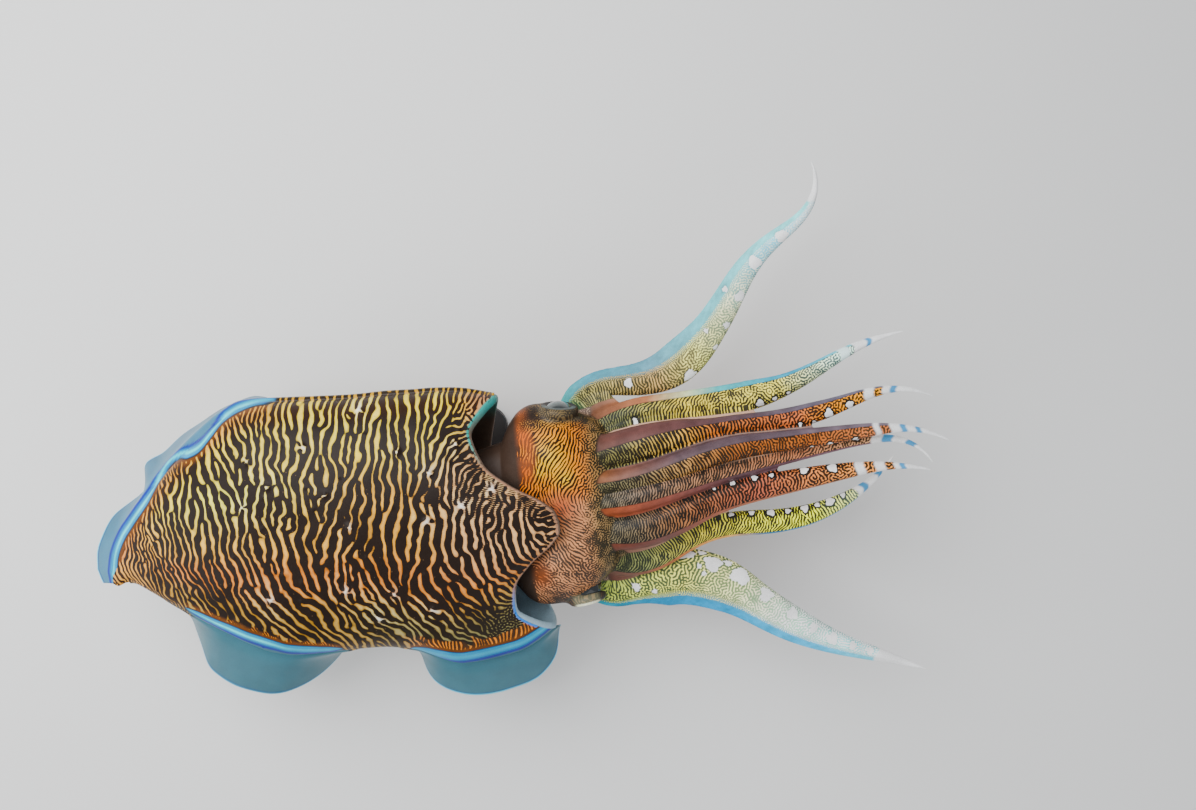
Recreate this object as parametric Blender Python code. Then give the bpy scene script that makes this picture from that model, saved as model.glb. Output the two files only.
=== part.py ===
"""A pharaoh cuttlefish at life size, held still above a small display stand."""

import math

import bmesh
import bpy
import numpy as np
from mathutils import Vector

# Lengths are in millimetres, and MM makes them metres as each surface is built.
# x runs from the tail tip to the arms, y to the animal's left, z up from the fin line.
MM = 0.001
GAP = 0.3

# Mantle: outline of the fin line, heights above and below it, and the open front.
MANTLE_FRONT = 284.0
MANTLE_STATIONS = 37
MANTLE_SIDES = 16
MANTLE_HALF_WIDTH = (
    (0, 4), (3.5, 11), (10, 16), (15, 19.5), (27, 30), (49, 48.5), (73, 66.5),
    (92, 79), (105, 85), (120, 87.7), (178, 86.2), (200, 88), (231, 94.5), (259, 91.5), (284, 82),
)
MANTLE_MIDDLE = (
    (0, -13), (3.5, -8), (10, -1), (15, 2), (34, 5.5), (49, 7.5), (92, 9),
    (136, 8), (178, 6.8), (200, 5), (231, -2.5), (259, -1.3), (284, 3),
)
MANTLE_TOP = (
    (0, 3), (15, 10), (33, 18), (58, 27), (90, 35), (136, 41.5), (200, 44), (250, 42), (284, 36),
)
MANTLE_BOTTOM = (
    (0, 3), (15, 8), (33, 15), (58, 25), (90, 35), (136, 44), (200, 48), (259, 47), (284, 45),
)
RIM_TOP = ((0, 309), (0.08, 308), (0.18, 301), (0.33, 284), (0.52, 270), (0.75, 266), (0.94, 279), (1, 286))
RIM_BOTTOM = ((0, 262), (0.4, 266), (0.8, 278), (1, 286))
RIM_TURN = 0.14
RIM_BLEND_START = 190.0
WALL = 4.5
POCKET_FLOOR = 236.0
FIN_BASE_HALF_HEIGHT = 2.0

# Fins: full width of the sheet, and the width that shows from above on each side.
FIN_WIDTH = (
    (-6, 9), (0, 13), (10, 18), (20, 23), (50, 33), (75, 41.5), (100, 42), (120, 38), (150, 33),
    (200, 32), (250, 32), (270, 26), (284, 16),
)
FIN_LEFT_SPREAD = (
    (-6, 10), (0, 13), (4, 15), (10, 15), (20, 11), (29, 7), (35, 16), (40, 20), (46, 14), (60, 12.5),
    (73, 9), (92, 4), (105, 0), (120, -6), (135, -13), (262, -13), (284, -3),
)
FIN_RIGHT_SPREAD = (
    (0, -2), (30, -4), (40, 8), (58, 27), (73, 40), (89, 41.5), (105, 40), (120, 31), (139, 15),
    (153, 1), (170, -6), (186, -4), (196, 8), (207, 22), (222, 30.5), (238, 31.5), (255, 30.5), (270, 22),
    (281, 8), (295, -2),
)
FIN_ACROSS = (0.0, 0.07, 0.15, 0.26, 0.48, 0.74, 1.0)
FIN_THICKNESS = ((0, 4.0), (0.1, 3.2), (0.4, 2.1), (1, 1.0))
FIN_ROLL = 0.2

# Head and neck.
HEAD_REAR = 276.0
HEAD_HALF_WIDTH = (
    (276, 50), (282, 60), (290, 67), (300, 69.5), (312, 68.5), (322, 64), (332, 58), (340, 53), (345, 46), (348, 37),
)
HEAD_MIDDLE = ((276, 3), (300, 7), (320, 6.5), (340, 9), (348, 10))
HEAD_TOP = ((276, 21), (290, 24), (305, 26), (320, 27.5), (335, 27), (343, 22), (348, 15))
HEAD_BOTTOM = ((276, 20), (290, 22), (305, 25), (320, 28), (335, 27), (343, 21), (348, 14))
HEAD_STATIONS = (276, 279, 283, 288, 294, 300, 306, 312, 318, 324, 330, 335.5, 340, 343.5, 346.2, 348)
HEAD_SIDES = 40
DOME_HEIGHT = 7.0
DOME_PLACE = (307.0, 40.0)
DOME_SPREAD = (16.0, 15.0)
NECK_HALF_WIDTH = 50.0
NECK_TOP = 21.0
NECK_BOTTOM = 18.0

# Eyes and their lids.
EYE_RADIUS = 11.5
EYE_LEFT = (316.0, 65.8, 3.5)
EYE_RIGHT = (321.5, -53.5, 3.5)
EYE_AXIS_LIFT = 10.0
EYE_AXIS_FORWARD = 8.0
LID_RADIUS = 10.6
LID_REACH = 6.6
LID_STEPS = 20
LID_SIDES = 6

# Arms, counted from the top of the head. Each list is spread evenly from root to tip:
# headings in the plan and climbs in degrees, then the breadth of the arm.
ARMS = {
    "arm_left_1": {
        "root": (334, 22, 19), "length": 241, "flatness": 0.82, "tilt": 6, "keel": 0.0,
        "heading": (2, 14, 1, 1, -32), "climb": (16, -1, -2, -7),
        "breadth": (14, 14.5, 15.8, 16.2, 14.2, 12.3, 9.8, 4.8, 1.2), "divided": (0.5,),
    },
    "arm_right_1": {
        "root": (334, 7, 18), "length": 238, "flatness": 0.82, "tilt": -6, "keel": 0.0,
        "heading": (5, 11, 8, 7, 0, -61), "climb": (23, -9, -4, -1),
        "breadth": (14, 16.5, 15, 12, 11, 10, 7.5, 4.5, 1.2), "divided": (0.5,),
    },
    "arm_left_2": {
        "root": (334, 38.6, 11), "length": 233, "flatness": 0.74, "tilt": 12, "keel": 0.1,
        "heading": (14, 7, 0.4, 15, -29), "climb": (16, -1, 1, -7),
        "breadth": (24, 24.3, 20.8, 13, 12.8, 14, 10, 5, 1.2), "divided": (0.5,),
    },
    "arm_right_2": {
        "root": (334, -13.4, 11), "length": 229, "flatness": 0.7, "tilt": -12, "keel": 0.1,
        "heading": (-10, 20, 7.3, 4, -19), "climb": (16, -1, 1, -7),
        "breadth": (21.5, 24.5, 23.5, 19, 17.5, 15, 11, 5.5, 1.2), "divided": (0.5,),
    },
    "arm_left_3": {
        "root": (334, 52, -4), "length": 222, "flatness": 0.62, "tilt": 16, "keel": 0.3,
        "heading": (34, 0, 7, 26, 6), "climb": (10, 2, 5, 2),
        "breadth": (16, 18, 19, 20.4, 20.2, 14.7, 9.8, 5.8, 1.2), "divided": (0.5,),
    },
    "arm_right_3": {
        "root": (334, -36, -4), "length": 220, "flatness": 0.62, "tilt": -16, "keel": 0.3,
        "heading": (-30, 29, -3, 19, 52), "climb": (10, 1, -1, 4),
        "breadth": (16, 17, 17, 18, 18, 16, 12, 6, 1.2), "divided": (0.5,),
    },
    "arm_left_4": {
        "root": (320, 60, -18), "length": 257, "flatness": 0.42, "tilt": 8, "keel": 0.5,
        "heading": (78, -1, 40, 57, 33, 111), "climb": (5, 9, 11, 9),
        "breadth": (15, 18.5, 23, 29, 22.5, 17.6, 12.2, 6.6, 1.2), "divided": (0.36, 0.68),
    },
    "arm_right_4": {
        "root": (322, -50, -18), "length": 262, "flatness": 0.36, "tilt": -8, "keel": 0.5,
        "heading": (-81, 21, -16, -38, -31, -21, -22), "climb": (5, 2, 0, 5),
        "breadth": (15.7, 21, 43, 40.5, 31, 25.6, 17, 9.6, 1.2), "divided": (0.36, 0.68),
    },
}
ARM_SIDES = 10
ARM_STATION_STEP = 10.5
SUCKERS = {"count": 18, "first": 0.2, "last": 0.955, "sides": 5, "share": 0.25, "smallest": 1.0, "largest": 3.6,
           "row_share": 0.2, "row_reach": 3.6}
SEGMENT_NAMES = {2: ("base", "end"), 3: ("base", "middle", "end")}

# Funnel and mouth.
ROUND_SIDES = 18
FUNNEL_STATIONS = (246, 258, 270, 282, 292, 301, 309, 315)
FUNNEL_HALF_WIDTH = ((246, 22), (275, 20), (295, 14), (315, 8.5))
FUNNEL_HALF_HEIGHT = ((246, 9), (275, 9), (295, 8), (315, 6.2))
FUNNEL_MIDDLE = ((246, 2), (275, 4), (315, 8))
FUNNEL_LEVEL = ((246, -27), (275, -29.5), (295, -31.5), (315, -35))
FUNNEL_WALL = 2.0
MOUTH_CENTRE = (10.0, -3.0)
MOUTH_PROFILE = (
    (348.3, 11.5), (350.6, 12.2), (353.2, 11.2), (355.0, 8.8), (354.6, 6.6), (353.0, 5.6), (354.8, 4.6), (357.2, 2.6),
)

# Stand.
FLOOR_LEVEL = -100.0
BASE_CENTRE = (168.0, 6.0)
BASE_HALF_LENGTH = 104.0
BASE_HALF_WIDTH = 58.0
BASE_THICKNESS = 8.0
BASE_CORNER = 16.0
BASE_BEVEL = 1.2
ROD_PLACES = {"stand_rod_rear": (140.0, 7.0), "stand_rod_front": (238.0, -1.0)}
ROD_RADIUS = 4.0
ROD_FOOT_RADIUS = 10.0
ROD_FOOT_HEIGHT = 3.0
ROD_PAD_RADIUS = 13.0


def smooth_through(knots, at):
    """Value at a place on a smooth line that doesn't overshoot its knots."""
    x = np.array([knot[0] for knot in knots], float)
    y = np.array([knot[1] for knot in knots], float)
    step = np.diff(x)
    slope = np.diff(y) / step
    lean = np.zeros(len(x))
    for i in range(1, len(x) - 1):
        if slope[i - 1] * slope[i] > 0:
            first = 2 * step[i] + step[i - 1]
            second = step[i] + 2 * step[i - 1]
            lean[i] = (first + second) / (first / slope[i - 1] + second / slope[i])
    lean[0] = slope[0]
    lean[-1] = slope[-1]
    at = np.clip(np.asarray(at, float), x[0], x[-1])
    i = np.clip(np.searchsorted(x, at, side="right") - 1, 0, len(x) - 2)
    t = (at - x[i]) / step[i]
    keep = 2 * t**3 - 3 * t**2 + 1
    return (
        keep * y[i]
        + (1 - keep) * y[i + 1]
        + (t**3 - 2 * t**2 + t) * step[i] * lean[i]
        + (t**3 - t**2) * step[i] * lean[i + 1]
    )


def spread_evenly(values, t):
    """Value at t from 0 to 1 along evenly spaced values."""
    knots = list(zip(np.linspace(0, 1, len(values)), values))
    return smooth_through(knots, t)


def ease(t):
    """Rise from 0 to 1 with level ends."""
    t = np.clip(t, 0, 1)
    return t * t * (3 - 2 * t)


def rounded(value, power):
    """A cosine or sine made fuller or sharper."""
    return np.sign(value) * np.abs(value) ** power


def finish(name, colour, roughness, metallic=0.0):
    """A plain surface material."""
    material = bpy.data.materials.new(name)
    material.use_nodes = True
    surface = material.node_tree.nodes["Principled BSDF"]
    surface.inputs["Base Color"].default_value = (*colour, 1.0)
    surface.inputs["Roughness"].default_value = roughness
    surface.inputs["Metallic"].default_value = metallic
    return material


def solid(name, points, faces, material):
    """A closed surface from points in millimetres."""
    mesh = bpy.data.meshes.new(name)
    mesh.from_pydata([Vector(point) * MM for point in points], [], faces)
    thing = bpy.data.objects.new(name, mesh)
    bpy.context.scene.collection.objects.link(thing)
    if material is not None:
        mesh.materials.append(material)
    tidy(thing)
    return thing


def tidy(thing):
    """Face the surface outward and shade it smooth, with edges kept where it turns sharply."""
    work = bmesh.new()
    work.from_mesh(thing.data)
    bmesh.ops.remove_doubles(work, verts=work.verts, dist=1e-7)
    bmesh.ops.recalc_face_normals(work, faces=work.faces)
    work.to_mesh(thing.data)
    work.free()
    thing.data.shade_smooth()
    thing.data.set_sharp_from_angle(angle=math.radians(50))


def loft(rings, start_point=None, end_point=None):
    """Points and faces of a tube through rings of matching points, closed at both ends."""
    count = len(rings[0])
    points = [tuple(point) for ring in rings for point in ring]
    faces = []
    for i in range(len(rings) - 1):
        for j in range(count):
            after = (j + 1) % count
            faces.append((i * count + j, i * count + after, (i + 1) * count + after, (i + 1) * count + j))
    ends = ((0, start_point, rings[0]), ((len(rings) - 1) * count, end_point, rings[-1]))
    for first, point, ring in ends:
        middle = len(points)
        points.append(tuple(np.mean(ring, axis=0)) if point is None else tuple(point))
        for j in range(count):
            faces.append((first + j, first + (j + 1) % count, middle))
    return points, faces


def combine(target, tools, operation, solver="EXACT"):
    """Join or cut a solid with others in one step, then remove the others."""
    group = bpy.data.collections.new("tools")
    for tool in tools:
        tool.hide_render = True
        tool.display_type = "WIRE"
        group.objects.link(tool)
    modifier = target.modifiers.new("combine", "BOOLEAN")
    modifier.operation = operation
    modifier.solver = solver
    modifier.operand_type = "COLLECTION"
    modifier.collection = group
    graph = bpy.context.evaluated_depsgraph_get()
    result = bpy.data.meshes.new_from_object(target.evaluated_get(graph))
    target.modifiers.clear()
    target.data = result
    for tool in tools:
        bpy.data.objects.remove(tool)
    bpy.data.collections.remove(group)
    keep_largest(target)
    tidy(target)


def keep_largest(thing):
    """Keep only the closed surface with the most points."""
    work = bmesh.new()
    work.from_mesh(thing.data)
    left = set(work.verts)
    shells = []
    while left:
        shell = {left.pop()}
        edge = list(shell)
        while edge:
            here = edge.pop()
            for link in here.link_edges:
                there = link.other_vert(here)
                if there not in shell:
                    shell.add(there)
                    edge.append(there)
        left -= shell
        shells.append(shell)
    shells.sort(key=len)
    for shell in shells[:-1]:
        bmesh.ops.delete(work, geom=list(shell), context="VERTS")
    work.to_mesh(thing.data)
    work.free()


def mantle_points(station, inset=0.0, grow=0.0):
    """One ring of the mantle; the front stations lean toward the open rim."""
    half = smooth_through(MANTLE_HALF_WIDTH, station)
    middle = smooth_through(MANTLE_MIDDLE, station)
    angles = np.linspace(0, math.pi, MANTLE_SIDES + 1)
    rings = []
    for upper in (True, False):
        height = smooth_through(MANTLE_TOP if upper else MANTLE_BOTTOM, station)
        angle = angles if upper else angles[::-1]
        across = rounded(np.cos(angle), 0.94)
        lift = rounded(np.sin(angle), 0.9)
        y = middle + across * (half - inset + grow)
        flat = min(FIN_BASE_HALF_HEIGHT, 0.8 * height)
        z = flat + lift * (height - inset + grow - flat)
        rim = smooth_through(RIM_TOP if upper else RIM_BOTTOM, np.abs(across)) - RIM_TURN * (y - 4)
        blend = ease((station - RIM_BLEND_START) / (MANTLE_FRONT - RIM_BLEND_START))
        x = station + (rim - MANTLE_FRONT) * blend
        rings.append(np.stack([x, y, z if upper else -z], axis=1))
    return np.vstack(rings)


def mantle_stations():
    """Places of the mantle rings, closer together toward the tail."""
    return MANTLE_FRONT * np.linspace(0, 1, MANTLE_STATIONS) ** 1.3


def build_mantle(material):
    rings = [mantle_points(station) for station in mantle_stations()]
    crest = mantle_points(MANTLE_FRONT, WALL / 2)
    crest[:, 0] += 1.4
    rings.append(crest)
    for station in (MANTLE_FRONT - 1, 270, 255):
        rings.append(mantle_points(station, WALL))
    floor = mantle_points(246, WALL)
    floor[:, 0] = POCKET_FLOOR
    rings.append(floor)
    return solid("mantle", *loft(rings), material)


def mantle_belly(grow):
    """The underside of the mantle, a little larger, for fitting the pads of the stand."""
    rings = [mantle_points(station, grow=grow) for station in mantle_stations()[10:]]
    return solid("belly", *loft(rings), None)


def fin_base_line(side):
    """Where a fin leaves the mantle, with its outward directions."""
    stations = mantle_stations()
    if side > 0:
        line = [mantle_points(station)[0] for station in stations]
        line.insert(0, mantle_points(0)[MANTLE_SIDES])
        stations = np.concatenate([[-6.0], stations])
    else:
        line = [mantle_points(station)[MANTLE_SIDES] for station in stations[3:]]
        stations = stations[3:]
    line = np.array(line)[:, :2]
    run = np.diff(line, axis=0)
    run /= np.linalg.norm(run, axis=1)[:, None]
    away = side * np.stack([-run[:, 1], run[:, 0]], axis=1)
    bisector = np.vstack([away[0], away[:-1] + away[1:], away[-1]])
    bisector /= np.linalg.norm(bisector, axis=1)[:, None]
    before = np.vstack([away[0], away])
    mitre = GAP / np.maximum(0.5, (bisector * before).sum(axis=1))
    return stations, line + bisector * mitre[:, None], bisector


def build_fin(name, side, spread, material):
    stations, base, away = fin_base_line(side)
    across = np.array(FIN_ACROSS)
    thickness = smooth_through(FIN_THICKNESS, across)
    upper = []
    lower = []
    for station, start, out in zip(stations, base, away):
        width = smooth_through(FIN_WIDTH, station)
        shown = np.clip((smooth_through(spread, station) - 1.5) / (width - 1.5), -0.225, 0.98)
        droop = -math.acos(shown)
        fine = np.linspace(0, 1, 101)
        turn = droop * ease(fine / FIN_ROLL)
        reach = np.concatenate([[0], np.cumsum(np.cos(turn[:-1] + np.diff(turn) / 2)) / 100]) * width
        fall = np.concatenate([[0], np.cumsum(np.sin(turn[:-1] + np.diff(turn) / 2)) / 100]) * width
        reach = np.interp(across, fine, reach)
        fall = np.interp(across, fine, fall)
        turn = np.interp(across, fine, turn)
        for store, sign in ((upper, 1), (lower, -1)):
            sideways = reach - sign * np.sin(turn) * thickness / 2
            level = fall + sign * np.cos(turn) * thickness / 2
            plan = start + sideways[:, None] * out
            store.append(np.column_stack([plan, level]))
    rows = len(upper)
    columns = len(across)
    points = [tuple(point) for row in upper for point in row]
    points += [tuple(point) for row in lower for point in row]
    shift = rows * columns
    faces = []
    for i in range(rows - 1):
        for j in range(columns - 1):
            a = i * columns + j
            b = a + columns
            faces += [(a, a + 1, b + 1), (a, b + 1, b)]
            faces += [(shift + a, shift + b + 1, shift + a + 1), (shift + a, shift + b, shift + b + 1)]
        a = i * columns
        b = a + columns
        faces.append((a, b, shift + b, shift + a))
        a += columns - 1
        b += columns - 1
        faces.append((a, shift + a, shift + b, b))
    for i in (0, rows - 1):
        for j in range(columns - 1):
            a = i * columns + j
            faces.append((a, a + 1, shift + a + 1, shift + a))
    return solid(name, points, faces, material)


def head_points(station, grow=0.0):
    """One ring of the head, with a dome above each eye."""
    angle = np.linspace(0, 2 * math.pi, HEAD_SIDES, endpoint=False)
    half = smooth_through(HEAD_HALF_WIDTH, station) + grow
    middle = smooth_through(HEAD_MIDDLE, station)
    top = smooth_through(HEAD_TOP, station) + grow
    bottom = smooth_through(HEAD_BOTTOM, station) + grow
    y = rounded(np.cos(angle), 0.9) * half
    lift = rounded(np.sin(angle), 0.8)
    z = np.where(lift > 0, lift * top, lift * bottom)
    lengthwise = ((station - DOME_PLACE[0]) / DOME_SPREAD[0]) ** 2
    sideways = ((np.abs(y) - DOME_PLACE[1]) / DOME_SPREAD[1]) ** 2
    z += np.where(lift > 0, DOME_HEIGHT * np.exp(-lengthwise - sideways) * np.minimum(1, lift * 3), 0)
    return np.stack([np.full(HEAD_SIDES, float(station)), middle + y, z], axis=1)


def head_blank(name, material, grow=0.0):
    rings = [head_points(station, grow) for station in HEAD_STATIONS]
    if grow:
        rings[-1][:, 0] += grow
        rings[0][:, 0] -= grow
    return solid(name, *loft(rings), material)


def eye_axis(side):
    lift = math.radians(EYE_AXIS_LIFT)
    forward = math.radians(EYE_AXIS_FORWARD)
    return Vector((math.sin(forward), side * math.cos(forward) * math.cos(lift), math.sin(lift))).normalized()


def ball(name, centre, radius, axis, material, turns=16, bands=10):
    """A ball whose pole faces along an axis."""
    spin = Vector((0, 0, 1)).rotation_difference(axis)
    rings = []
    for i in range(1, bands):
        polar = math.pi * i / bands
        ring = []
        for j in range(turns):
            round_angle = 2 * math.pi * j / turns
            local = Vector((math.sin(polar) * math.cos(round_angle), math.sin(polar) * math.sin(round_angle), math.cos(polar)))
            ring.append(tuple(Vector(centre) + spin @ local * radius))
        rings.append(ring)
    top = Vector(centre) + axis * radius
    bottom = Vector(centre) - axis * radius
    return solid(name, *loft(rings, top, bottom), material)


def lid(name, centre, side):
    """A ring of skin round the eye opening, thicker above than below."""
    axis = eye_axis(side)
    up = (Vector((0, 0, 1)) - axis * axis.z).normalized()
    along = up.cross(axis)
    rings = []
    for j in range(LID_STEPS):
        round_angle = 2 * math.pi * j / LID_STEPS
        out = up * math.cos(round_angle) + along * math.sin(round_angle)
        weight = 2.6 + 1.0 * math.cos(round_angle)
        middle = Vector(centre) + axis * LID_REACH + out * LID_RADIUS
        ring = []
        for i in range(LID_SIDES):
            turn = 2 * math.pi * i / LID_SIDES
            ring.append(tuple(middle + out * math.cos(turn) * weight * 1.3 + axis * math.sin(turn) * weight))
        rings.append(ring)
    points = [point for ring in rings for point in ring]
    faces = []
    for j in range(LID_STEPS):
        following = (j + 1) % LID_STEPS
        for i in range(LID_SIDES):
            beside = (i + 1) % LID_SIDES
            a = j * LID_SIDES + i
            b = j * LID_SIDES + beside
            c = following * LID_SIDES + beside
            d = following * LID_SIDES + i
            faces.append((a, b, c, d))
    return solid(name, points, faces, None)


def build_head(material):
    head = head_blank("head", material)
    lids = [lid("lid_left", EYE_LEFT, 1), lid("lid_right", EYE_RIGHT, -1)]
    combine(head, lids, "UNION")
    sockets = [
        ball("socket_left", EYE_LEFT, EYE_RADIUS + GAP, eye_axis(1), None),
        ball("socket_right", EYE_RIGHT, EYE_RADIUS + GAP, eye_axis(-1), None),
    ]
    combine(head, sockets, "DIFFERENCE")
    return head


def build_neck(material):
    rings = []
    for station in np.linspace(POCKET_FLOOR + GAP, HEAD_REAR - GAP, 6):
        angle = np.linspace(0, 2 * math.pi, 32, endpoint=False)
        waist = 1 - 0.08 * math.sin(math.pi * (station - POCKET_FLOOR) / (HEAD_REAR - POCKET_FLOOR))
        y = 3 + rounded(np.cos(angle), 0.9) * NECK_HALF_WIDTH * waist
        lift = rounded(np.sin(angle), 0.85)
        z = np.where(lift > 0, lift * NECK_TOP, lift * NECK_BOTTOM) * waist
        rings.append(np.stack([np.full(32, station), y, z], axis=1))
    return solid("neck", *loft(rings), material)


def arm_course(arm, count=241):
    """Centres and forward directions along an arm."""
    t = (np.arange(count - 1) + 0.5) / (count - 1)
    heading = np.radians(spread_evenly(arm["heading"], t))
    climb = np.radians(spread_evenly(arm["climb"], t))
    ahead = np.stack([np.cos(heading) * np.cos(climb), np.sin(heading) * np.cos(climb), np.sin(climb)], axis=1)
    steps = ahead * arm["length"] / (count - 1)
    centres = np.vstack([arm["root"], np.array(arm["root"]) + np.cumsum(steps, axis=0)])
    return np.linspace(0, 1, count), centres, np.vstack([ahead[0], ahead])


def arm_frame(arm, t):
    """Centre, forward, sideways and upward directions at a place along an arm."""
    places, centres, ahead = arm_course(arm)
    centre = np.array([np.interp(t, places, centres[:, k]) for k in range(3)])
    forward = np.array([np.interp(t, places, ahead[:, k]) for k in range(3)])
    forward /= np.linalg.norm(forward)
    sideways = np.cross((0, 0, 1), forward)
    sideways /= np.linalg.norm(sideways)
    upward = np.cross(forward, sideways)
    tilt = math.radians(arm["tilt"]) * (1 - t)
    leaned = sideways * math.cos(tilt) - upward * math.sin(tilt)
    return centre, forward, leaned, np.cross(forward, leaned)


def arm_size(arm, t):
    """Breadth and depth of an arm; a thin tip is nearly round."""
    breadth = float(spread_evenly(arm["breadth"], t))
    flatness = arm["flatness"] + (0.95 - arm["flatness"]) * float(ease((t - 0.45) / 0.55))
    return breadth, breadth * flatness


def arm_ring(arm, t, grow):
    """One section of an arm, thinner toward its outer keel."""
    centre, forward, sideways, upward = arm_frame(arm, t)
    breadth, depth = arm_size(arm, t)
    outer = 1 if arm["root"][1] > 14 else -1
    ring = []
    for angle in np.linspace(0, 2 * math.pi, ARM_SIDES, endpoint=False) + math.pi / ARM_SIDES:
        across = math.cos(angle)
        keel = 1 - arm["keel"] * max(0.0, across * outer) ** 0.8
        fore = across * (breadth / 2 + grow)
        rise = math.sin(angle) * (depth / 2 * keel + grow)
        ring.append(centre + sideways * fore + upward * rise)
    return np.array(ring)


def arm_length_of(name, arm, start, end, material, grow=0.0):
    """One length of an arm between two places along it."""
    count = max(3, round((end - start) * arm["length"] / ARM_STATION_STEP) + 1)
    rings = [arm_ring(arm, t, grow) for t in np.linspace(start, end, count)]
    tip = None
    if end == 1:
        centre, forward, sideways, upward = arm_frame(arm, 1)
        tip = centre + forward * (0.8 + grow)
    return solid(name, *loft(rings, None, tip), material)


def arm_suckers(arm, start, end):
    """Small cups in two rows on the inner face of one length of an arm."""
    cups = []
    outer = 1 if arm["root"][1] > 14 else -1
    margin = 3.0 / arm["length"]
    for i, t in enumerate(np.linspace(SUCKERS["first"], SUCKERS["last"], SUCKERS["count"])):
        if not start + margin < t < end - margin * (end < 1):
            continue
        centre, forward, sideways, upward = arm_frame(arm, t)
        breadth, depth = arm_size(arm, t)
        aside = (1 if i % 2 else -1) * min(SUCKERS["row_share"] * breadth, SUCKERS["row_reach"])
        across = aside / (breadth / 2)
        keel = 1 - arm["keel"] * max(0.0, across * outer) ** 0.8
        down = math.sqrt(1 - across**2)
        foot = centre + sideways * aside - upward * down * depth / 2 * keel * 0.96
        out = sideways * across / (breadth / 2) - upward * down / (depth / 2)
        out /= np.linalg.norm(out)
        across_out = np.cross(out, forward)
        along_out = np.cross(across_out, out)
        size = min(max(SUCKERS["share"] * breadth, SUCKERS["smallest"]), SUCKERS["largest"])
        height = 0.35 + 0.3 * size
        rings = []
        for level, radius in ((-min(0.9, 0.25 * depth), 0.36 * size), (height, 0.5 * size)):
            ring = []
            for j in range(SUCKERS["sides"]):
                turn = 2 * math.pi * j / SUCKERS["sides"]
                ring.append(foot + out * level + (across_out * math.cos(turn) + along_out * math.sin(turn)) * radius)
            rings.append(np.array(ring))
        cups.append(solid("sucker", *loft(rings, None, foot + out * height * 0.4), None))
    return cups


def build_arms(material):
    """Arms are fitted to the head and to the arm above, with a hair of clearance."""
    clearance = GAP + 0.15
    above = {"arm_right_1": "arm_left_1", "arm_left_2": "arm_left_1", "arm_right_2": "arm_right_1",
             "arm_left_3": "arm_left_2", "arm_right_3": "arm_right_2",
             "arm_left_4": "arm_left_3", "arm_right_4": "arm_right_3"}
    for name, arm in ARMS.items():
        places = (0, *arm["divided"], 1)
        labels = SEGMENT_NAMES[len(places) - 1]
        half_gap = GAP / 2 / arm["length"]
        for i, label in enumerate(labels):
            start = places[i] + (half_gap if i else 0)
            end = places[i + 1] - (half_gap if places[i + 1] < 1 else 0)
            part = arm_length_of(f"{name}_{label}", arm, start, end, material)
            if i == 0:
                combine(part, [head_blank("head_fit", None, GAP)], "DIFFERENCE")
            if name in above and i == 0:
                upper = ARMS[above[name]]
                fit = arm_length_of("arm_fit", upper, 0, upper["divided"][0], None, clearance)
                combine(part, [fit], "DIFFERENCE")
            combine(part, arm_suckers(arm, start, end), "UNION")


def build_funnel(material):
    rings = []
    angle = np.linspace(0, 2 * math.pi, ROUND_SIDES, endpoint=False)

    def section(station, wall):
        half = smooth_through(FUNNEL_HALF_WIDTH, station) - wall
        height = smooth_through(FUNNEL_HALF_HEIGHT, station) - wall
        middle = smooth_through(FUNNEL_MIDDLE, station)
        level = smooth_through(FUNNEL_LEVEL, station)
        return np.stack(
            [np.full(ROUND_SIDES, float(station)), middle + np.cos(angle) * half, level + np.sin(angle) * height], axis=1
        )

    for station in FUNNEL_STATIONS:
        rings.append(section(station, 0.0))
    for station in (314.5, 306, 296, 286):
        rings.append(section(station, FUNNEL_WALL))
    funnel = solid("funnel", *loft(rings), material)
    combine(funnel, [head_blank("head_fit", None, GAP)], "DIFFERENCE")
    return funnel


def build_mouth(material):
    """Lips round a small pointed beak in the middle of the arms."""
    rings = []
    for station, radius in MOUTH_PROFILE:
        angle = np.linspace(0, 2 * math.pi, 20, endpoint=False)
        y = MOUTH_CENTRE[0] + np.cos(angle) * radius
        z = MOUTH_CENTRE[1] + np.sin(angle) * radius
        rings.append(np.stack([np.full(20, station), y, z], axis=1))
    tip = (359.0, *MOUTH_CENTRE)
    return solid("mouth", *loft(rings, None, tip), material)


def rounded_outline(half_length, half_width, corner, level):
    """A level outline with round corners."""
    points = []
    for quarter in range(4):
        sign_x = 1 if quarter in (0, 3) else -1
        sign_y = 1 if quarter in (0, 1) else -1
        for i in range(7):
            angle = math.radians(90 * quarter + 15 * i)
            x = BASE_CENTRE[0] + sign_x * (half_length - corner) + corner * math.cos(angle)
            y = BASE_CENTRE[1] + sign_y * (half_width - corner) + corner * math.sin(angle)
            points.append((x, y, level))
    return points


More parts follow.
